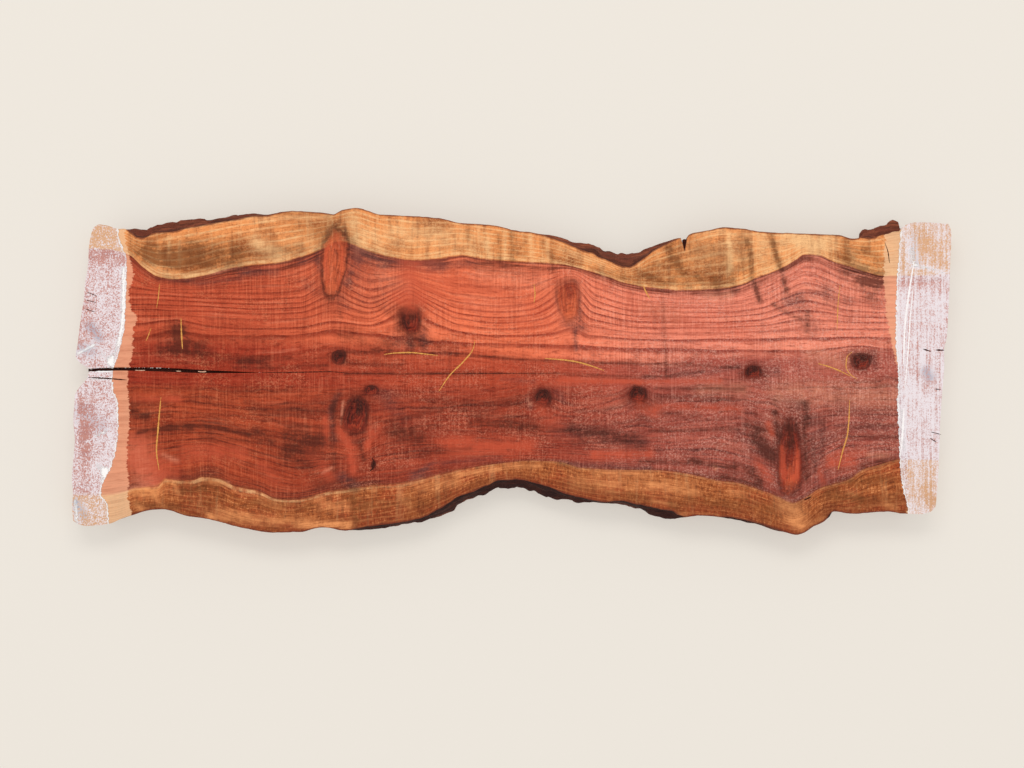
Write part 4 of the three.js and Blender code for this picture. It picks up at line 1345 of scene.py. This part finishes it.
    # A dark thread of inner bark along the rim
    rim = r.plus(r.field("rim"), r.sway(patch_noise, 0.006))
    wood = r.mix(r.times(r.spread(rim, 0.0004, 0.0034, 1.0, 0.0), 0.8), wood, BARK_BROWN)

    # Dry wood beside the wax, where the wetting finish stopped
    jag = r.sway(r.noise(spot, (30.0, 170.0, 170.0), 4.0, 0.8), 0.020)
    dry = r.spread(r.plus(r.field("dry"), jag), 0.0, 0.0012)
    dry_colour = r.mix(in_sap, DRY_WOOD, DRY_SAP)
    dry_colour = r.mix(r.spread(streak, 0.40, 0.70, 0.0, 0.30), dry_colour, wood)
    dry_colour = r.shade(r.spread(fibre, 0.5, 0.7, 0.0, 0.2), dry_colour, DRY_SHADE)
    wood = r.mix(r.times(dry, 0.84), wood, dry_colour)

    # Wax: a milky, scratchy coat, thick and white at its edge and thinner over the sapwood
    jag = r.sway(r.noise(spot, (60.0, 130.0, 130.0), 3.0, 0.7), 0.010)
    wax_depth = r.plus(r.field("wax"), jag)
    wax = r.spread(wax_depth, 0.0, 0.0010)
    curl = r.noise(spot, (460.0, 400.0, 400.0), 2.0, 0.8)
    cloud = r.noise(spot, (55.0, 70.0, 70.0), 3.0, 0.6)
    left_end = r.spread(x_along, -0.2, 0.2, 1.0, 0.0)
    cover = r.between(in_sap, 0.80, 0.52)
    cover = r.plus(cover, r.times(left_end, -0.14))
    brush = r.noise(spot, (260.0, 12.0, 12.0), 2.0, 0.6)
    cover = r.plus(cover, r.sway(brush, r.between(left_end, 2.0, 0.8)))
    cover = r.plus(cover, r.sway(curl, r.between(left_end, 3.0, 5.2)))
    cover = r.plus(cover, r.sway(cloud, 0.9))
    cover = r.plus(cover, r.field("wax_load"))
    lip = r.times(r.spread(wax_depth, 0.0010, 0.0052, 1.0, 0.0), r.spread(cloud, 0.32, 0.52, 0.45, 1.0))
    thick = r.spread(r.plus(r.field("wax_load"), r.sway(curl, 0.8)), 0.35, 0.65)
    white = r.larger(lip, thick)
    cover = r.larger(r.larger(r.sum("MINIMUM", cover, 0.97), white), 0.08)
    wax_colour = r.mix(white, WAX_LILAC, WAX_WHITE)
    blue = r.times(r.field("grey"), r.spread(curl, 0.35, 0.6))
    wax_colour = r.mix(r.sum("MINIMUM", blue, 0.8), wax_colour, WAX_BLUE)
    under_wax = r.mix(0.55, wood, r.mix(in_sap, UNDER_WAX_HEART, UNDER_WAX_SAP))
    coated = r.mix(cover, under_wax, wax_colour)
    tree.links.new(r.mix(wax, wood, coated), out.inputs["Colour"])

    rough = r.ramp(fibre, 0.3, 0.7, 0.46, 0.64)
    shine = r.node("ShaderNodeMix", {"data_type": "FLOAT"})
    r.feed(shine.inputs[0], wax)
    r.feed(shine.inputs[2], r.plus(rough, r.times(dry, 0.2)))
    shine.inputs[3].default_value = WAX_ROUGHNESS
    tree.links.new(shine.outputs[0], out.inputs["Roughness"])

    relief = r.plus(r.times(thin_line, -0.3), r.plus(r.times(fibre, 0.5), r.times(grit, 0.6)))
    relief = r.plus(relief, r.times(thread, r.times(thread_strength, 0.7)))
    relief = r.plus(relief, r.times(wax, r.plus(r.times(curl, 1.6), r.times(white, 1.6))))
    tree.links.new(relief, out.inputs["Relief"])
    return tree


# How much each surface reflects besides its colour
WOOD_SHINE = 0.12
DULL_SHINE = 0.2
FLOOR_SHINE = 0.1
# How deep the small relief of the bark looks
BARK_BUMP = 2.2 * MM
# Finishes of the cuts: name, how much of a wash lies over the shared wood, its colour, and the relief
CUT_FINISHES = {
    "top": ("wetted top", 0.0, None, 0.5 * MM),
    "underside": ("dry underside", 0.22, colour("cf9a7c"), 0.9 * MM),
    "end cut": ("end cut", 0.0, None, 0.7 * MM),
    # The crack's walls are washed nearly black with painted shade
    "crack wall": ("crack wall", 0.8, GAP_SHADE, 1.0 * MM),
}


def finish_of(name):
    """A new finish with its shader and surface output, and the recipe that adds its nodes."""
    made = bpy.data.materials.new(name)
    made.use_nodes = True
    tree = made.node_tree
    tree.nodes.clear()
    shader = tree.nodes.new("ShaderNodeBsdfPrincipled")
    surface = tree.nodes.new("ShaderNodeOutputMaterial")
    tree.links.new(shader.outputs[0], surface.inputs["Surface"])
    return made, shader, Recipe(tree)


def sawn_redwood(group, name, share, wash, bump_height):
    """Sawn wood from the shared group, under a wash where a cut is paler or duller, or nearly black with
    painted shade in the crack.
    """
    made, shader, r = finish_of(name)
    wood = r.tree.nodes.new("ShaderNodeGroup")
    wood.node_tree = group
    toned = r.mix(share, wood.outputs["Colour"], wash) if share else wood.outputs["Colour"]
    r.feed(shader.inputs["Base Color"], toned)
    r.feed(shader.inputs["Roughness"], wood.outputs["Roughness"])
    shader.inputs["Specular IOR Level"].default_value = WOOD_SHINE
    bump = r.node("ShaderNodeBump", Strength=1.0, Distance=bump_height, Height=wood.outputs["Relief"])
    r.feed(shader.inputs["Normal"], bump.outputs[0])
    return made


def live_edge_finish():
    """Stringy bark on the swollen stretches, and brown inner bark with bare wood between them."""
    made, shader, r = finish_of("live edge")
    spot = r.node("ShaderNodeTexCoord").outputs["Object"]
    bark = r.field("bark")
    string = r.noise(spot, (18.0, 150.0, 260.0), 5.0, 0.7)
    plate = r.noise(spot, (14.0, 90.0, 100.0), 4.0, 0.65)
    fuzz = r.noise(spot, (70.0, 500.0, 900.0), 3.0, 0.7)
    base = r.mix(r.spread(string, 0.32, 0.62), BARK_DARK, BARK_BROWN)
    base = r.mix(r.times(r.spread(plate, 0.50, 0.66), 0.7), base, BARK_RED)
    base = r.mix(r.times(r.spread(fuzz, 0.5, 0.72), 0.4), base, BARK_FUZZ)
    height = r.part_of(spot, "Z")
    far_bark = r.spread(r.part_of(spot, "Y"), -0.1, 0.1)
    base = r.mix(r.times(far_bark, 0.16), base, BARK_RED)
    rim_dark = r.spread(r.plus(height, r.times(plate, 0.008)), THICKNESS - 0.007, THICKNESS, 0.0, 0.7)
    base = r.mix(r.times(rim_dark, r.spread(far_bark, 0.0, 1.0, 1.0, 0.8)), base, BARK_DARK)
    # The near side's bark is darker from 12 mm up, fully from 34 mm
    near_upper_dark = r.times(r.spread(far_bark, 0.0, 1.0, 0.75, 0.0), r.spread(height, 0.012, 0.034))
    base = r.mix(near_upper_dark, base, BARK_NEAR_DARK)
    skin = r.mix(r.spread(string, 0.35, 0.7), BARK_BROWN, CAMBIUM)
    skin = r.mix(r.times(r.spread(plate, 0.50, 0.66), 0.45), skin, CAMBIUM_PALE)
    thick = r.spread(r.plus(bark, r.sway(plate, 0.006)), 0.0005, 0.0035)
    edge = r.mix(thick, skin, base)
    edge = r.mix(r.times(r.field("cream"), r.spread(string, 0.34, 0.56, 0.25, 1.0)), edge, BARE_WOOD)
    wax = r.spread(r.plus(r.field("wax"), r.sway(plate, 0.012)), 0.0, 0.002)
    coat = r.mix(r.times(wax, r.ramp(string, 0.3, 0.65, 0.45, 0.85)), edge, WAX_LILAC)
    r.feed(shader.inputs["Base Color"], coat)
    r.feed(shader.inputs["Roughness"], r.ramp(fuzz, 0.3, 0.7, 0.72, 0.9))
    shader.inputs["Specular IOR Level"].default_value = DULL_SHINE
    relief = r.plus(string, r.plus(r.times(plate, 0.6), r.times(fuzz, 0.25)))
    bump = r.node("ShaderNodeBump", Strength=1.0, Distance=BARK_BUMP, Height=relief)
    r.feed(shader.inputs["Normal"], bump.outputs[0])
    return made


def slab_finishes():
    """The finishes of all parts of the slab's surface, by name."""
    group = redwood_group()
    finishes = {part: sawn_redwood(group, *look) for part, look in CUT_FINISHES.items()}
    return finishes | {"live edge": live_edge_finish()}


LINE_STEP = 2 * MM
FEWEST_STEPS = 6
# A strip narrows to its ends as the root of a sine does. The sine starts at this angle and isn't
# taken below this value. The width then varies by this share either way.
END_ANGLE = 0.1
THIN_END = 0.15
UNEVEN_WIDTH = 0.35
SPECK_CELLS = (500.0, 500.0, 500.0)


def plain_finish(name, worn_colour, clear_colour, roughness):
    """One colour that wears through to another in small specks."""
    made, shader, r = finish_of(name)
    spot = r.node("ShaderNodeTexCoord").outputs["Object"]
    worn = r.noise(spot, SPECK_CELLS, 3.0, 0.7)
    r.feed(shader.inputs["Base Color"], r.mix(r.spread(worn, 0.35, 0.65), worn_colour, clear_colour))
    shader.inputs["Roughness"].default_value = roughness
    shader.inputs["Specular IOR Level"].default_value = DULL_SHINE
    return made


def ribbon(points, half_width, lift, depth, seed):
    """A closed strip along a curve at the top face, of uneven width, with thin ends."""
    ahead = np.gradient(points, axis=0)
    across = np.column_stack([-ahead[:, 1], ahead[:, 0]])
    across /= np.linalg.norm(across, axis=1, keepdims=True)
    round_way = np.linspace(END_ANGLE, math.pi - END_ANGLE, len(points))
    taper = np.sqrt(np.clip(np.sin(round_way), THIN_END, 1))
    uneven = 1 + UNEVEN_WIDTH * np.random.default_rng(seed).uniform(-1, 1, len(points))
    half = (half_width * taper * uneven)[:, None]
    left = points + across * half
    right = points - across * half
    top = np.full((len(points), 1), THICKNESS + lift)
    low = np.full((len(points), 1), THICKNESS + lift - depth)
    rows = [np.hstack(row) for row in ((left, top), (right, top), (right, low), (left, low))]
    vertices = np.stack(rows, axis=1).reshape(-1, 3)
    faces = []
    for step in range(len(points) - 1):
        here, there = step * 4, step * 4 + 4
        for side in range(4):
            after = (side + 1) % 4
            faces.append([here + side, there + side, there + after, here + after])
    faces.append([0, 1, 2, 3])
    last = (len(points) - 1) * 4
    faces.append([last + 3, last + 2, last + 1, last])
    return vertices, faces


def make_lines(name, lines, lift, depth, finish):
    """One piece made of thin strips along lines given in photo pixels, each with its width."""
    vertices = np.zeros((0, 3))
    faces = []
    for number, (pixels, width) in enumerate(lines):
        points = place(pixels)
        travelled = np.concatenate([[0], np.cumsum(np.linalg.norm(np.diff(points, axis=0), axis=1))])
        count = max(FEWEST_STEPS, int(travelled[-1] / LINE_STEP))
        line = steady_curve(travelled, points)(np.linspace(0, travelled[-1], count))
        made, sides = ribbon(line, width * METRES_PER_PIXEL / 2, lift, depth, number)
        faces += [[index + len(vertices) for index in side] for side in sides]
        vertices = np.vstack([vertices, made])
    mesh = bpy.data.meshes.new(name)
    mesh.from_pydata(vertices.tolist(), [], faces)
    mesh.materials.append(finish)
    piece = bpy.data.objects.new(name, mesh)
    bpy.context.scene.collection.objects.link(piece)
    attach(piece, "root")
    return piece


# Finishes of the thin pieces: the worn colour, the clear colour and the roughness
PLAIN_FINISHES = {
    "yellow pencil": (colour("c9823f"), colour("e6ac58"), 0.7),
    # Painted shade for the hairline gaps and the strips deep in the crack
    "painted gap shade": (GAP_SHADE, colour("4a1d13"), 0.9),
    "splinter": (colour("b07a5c"), colour("e8c4ac"), 0.7),
    "thick wax": (colour("f4ecee"), colour("fffdfd"), 0.4),
}
# Thin pieces: their lines, how far their upper side is above the top face, or below it where that is
# negative, how deep they are from there, and their finish
MARKS = {
    "pencil_marks": (PENCIL_STROKES, 0.15 * MM, 0.35 * MM, "yellow pencil"),
    "hairline_cracks": (HAIRLINES, 0.1 * MM, 0.3 * MM, "painted gap shade"),
    # The dark strips deep in the crack and the split are painted shade
    "crack_shade": (CRACK_SHADE_STRIPS, -5 * MM, 6 * MM, "painted gap shade"),
    "crack_splinters": (SPLINTERS, -0.3 * MM, 5 * MM, "splinter"),
    "wax_ridges": (WAX_RIDGES, 0.5 * MM, 0.7 * MM, "thick wax"),
}


def make_marks():
    """All thin pieces on the top face, in the crack and in the split."""
    finishes = {name: plain_finish(name, *look) for name, look in PLAIN_FINISHES.items()}
    for name, (lines, lift, depth, finish) in MARKS.items():
        make_lines(name, lines, lift, depth, finishes[finish])


FLOOR_SIZE = 12.0
FLOOR_DROP = 0.5 * MM
FLOOR_COLOUR = (0.407, 0.387, 0.357, 1.0)
FLOOR_GLOW = (0.437, 0.409, 0.370, 1.0)
FLOOR_ROUGHNESS = 0.9


def make_floor():
    """A pale floor that is half lit from above and half by its own glow, so the shadow stays soft."""
    half = FLOOR_SIZE / 2
    mesh = bpy.data.meshes.new("floor")
    corners = [(-half, -half, 0), (half, -half, 0), (half, half, 0), (-half, half, 0)]
    mesh.from_pydata(corners, [], [(0, 1, 2, 3)])
    made, shader, _ = finish_of("pale floor")
    shader.inputs["Base Color"].default_value = FLOOR_COLOUR
    shader.inputs["Emission Color"].default_value = FLOOR_GLOW
    shader.inputs["Emission Strength"].default_value = 1.0
    shader.inputs["Roughness"].default_value = FLOOR_ROUGHNESS
    shader.inputs["Specular IOR Level"].default_value = FLOOR_SHINE
    mesh.materials.append(made)
    floor = bpy.data.objects.new("floor", mesh)
    floor.location.z = -FLOOR_DROP
    bpy.context.scene.collection.objects.link(floor)


SKY_COLOUR = (1.0, 0.985, 0.965, 1.0)
SKY_STRENGTH = 0.83
KEY_COLOUR = (1.0, 0.975, 0.94)
KEY_POWER = 235.0
KEY_SIZE = (7.0, 3.0)
KEY_PLACE = (-0.5, 5.6, 7.4)


def make_light():
    """An even pale sky, and one wide soft lamp above and behind the slab."""
    world = bpy.data.worlds.new("studio")
    world.use_nodes = True
    backdrop = world.node_tree.nodes["Background"]
    backdrop.inputs["Color"].default_value = SKY_COLOUR
    backdrop.inputs["Strength"].default_value = SKY_STRENGTH
    bpy.context.scene.world = world
    lamp = bpy.data.lights.new("key", "AREA")
    lamp.energy = KEY_POWER
    lamp.shape = "RECTANGLE"
    lamp.size, lamp.size_y = KEY_SIZE
    lamp.color = KEY_COLOUR
    key = bpy.data.objects.new("key", lamp)
    key.location = KEY_PLACE
    key.rotation_euler = (-math.atan2(KEY_PLACE[1], KEY_PLACE[2]), 0, 0)
    bpy.context.scene.collection.objects.link(key)


LENS = 100.0
SENSOR = 36.0
CLIP_END = 100.0


def make_camera():
    """Straight above the slab, so that the top face fills the frame as in the photograph."""
    view = bpy.data.cameras.new("camera")
    view.lens = LENS
    view.sensor_width = SENSOR
    view.clip_end = CLIP_END
    width = PHOTO_SIZE[0] * METRES_PER_PIXEL
    x, y = place((PHOTO_SIZE[0] / 2, PHOTO_SIZE[1] / 2))
    camera = bpy.data.objects.new("camera", view)
    camera.location = (x, y, THICKNESS + width * LENS / SENSOR)
    bpy.context.scene.collection.objects.link(camera)
    bpy.context.scene.camera = camera


make_camera()
make_slab(slab_finishes())
make_marks()
make_floor()
make_light()
bpy.context.scene.view_settings.view_transform = "Standard"
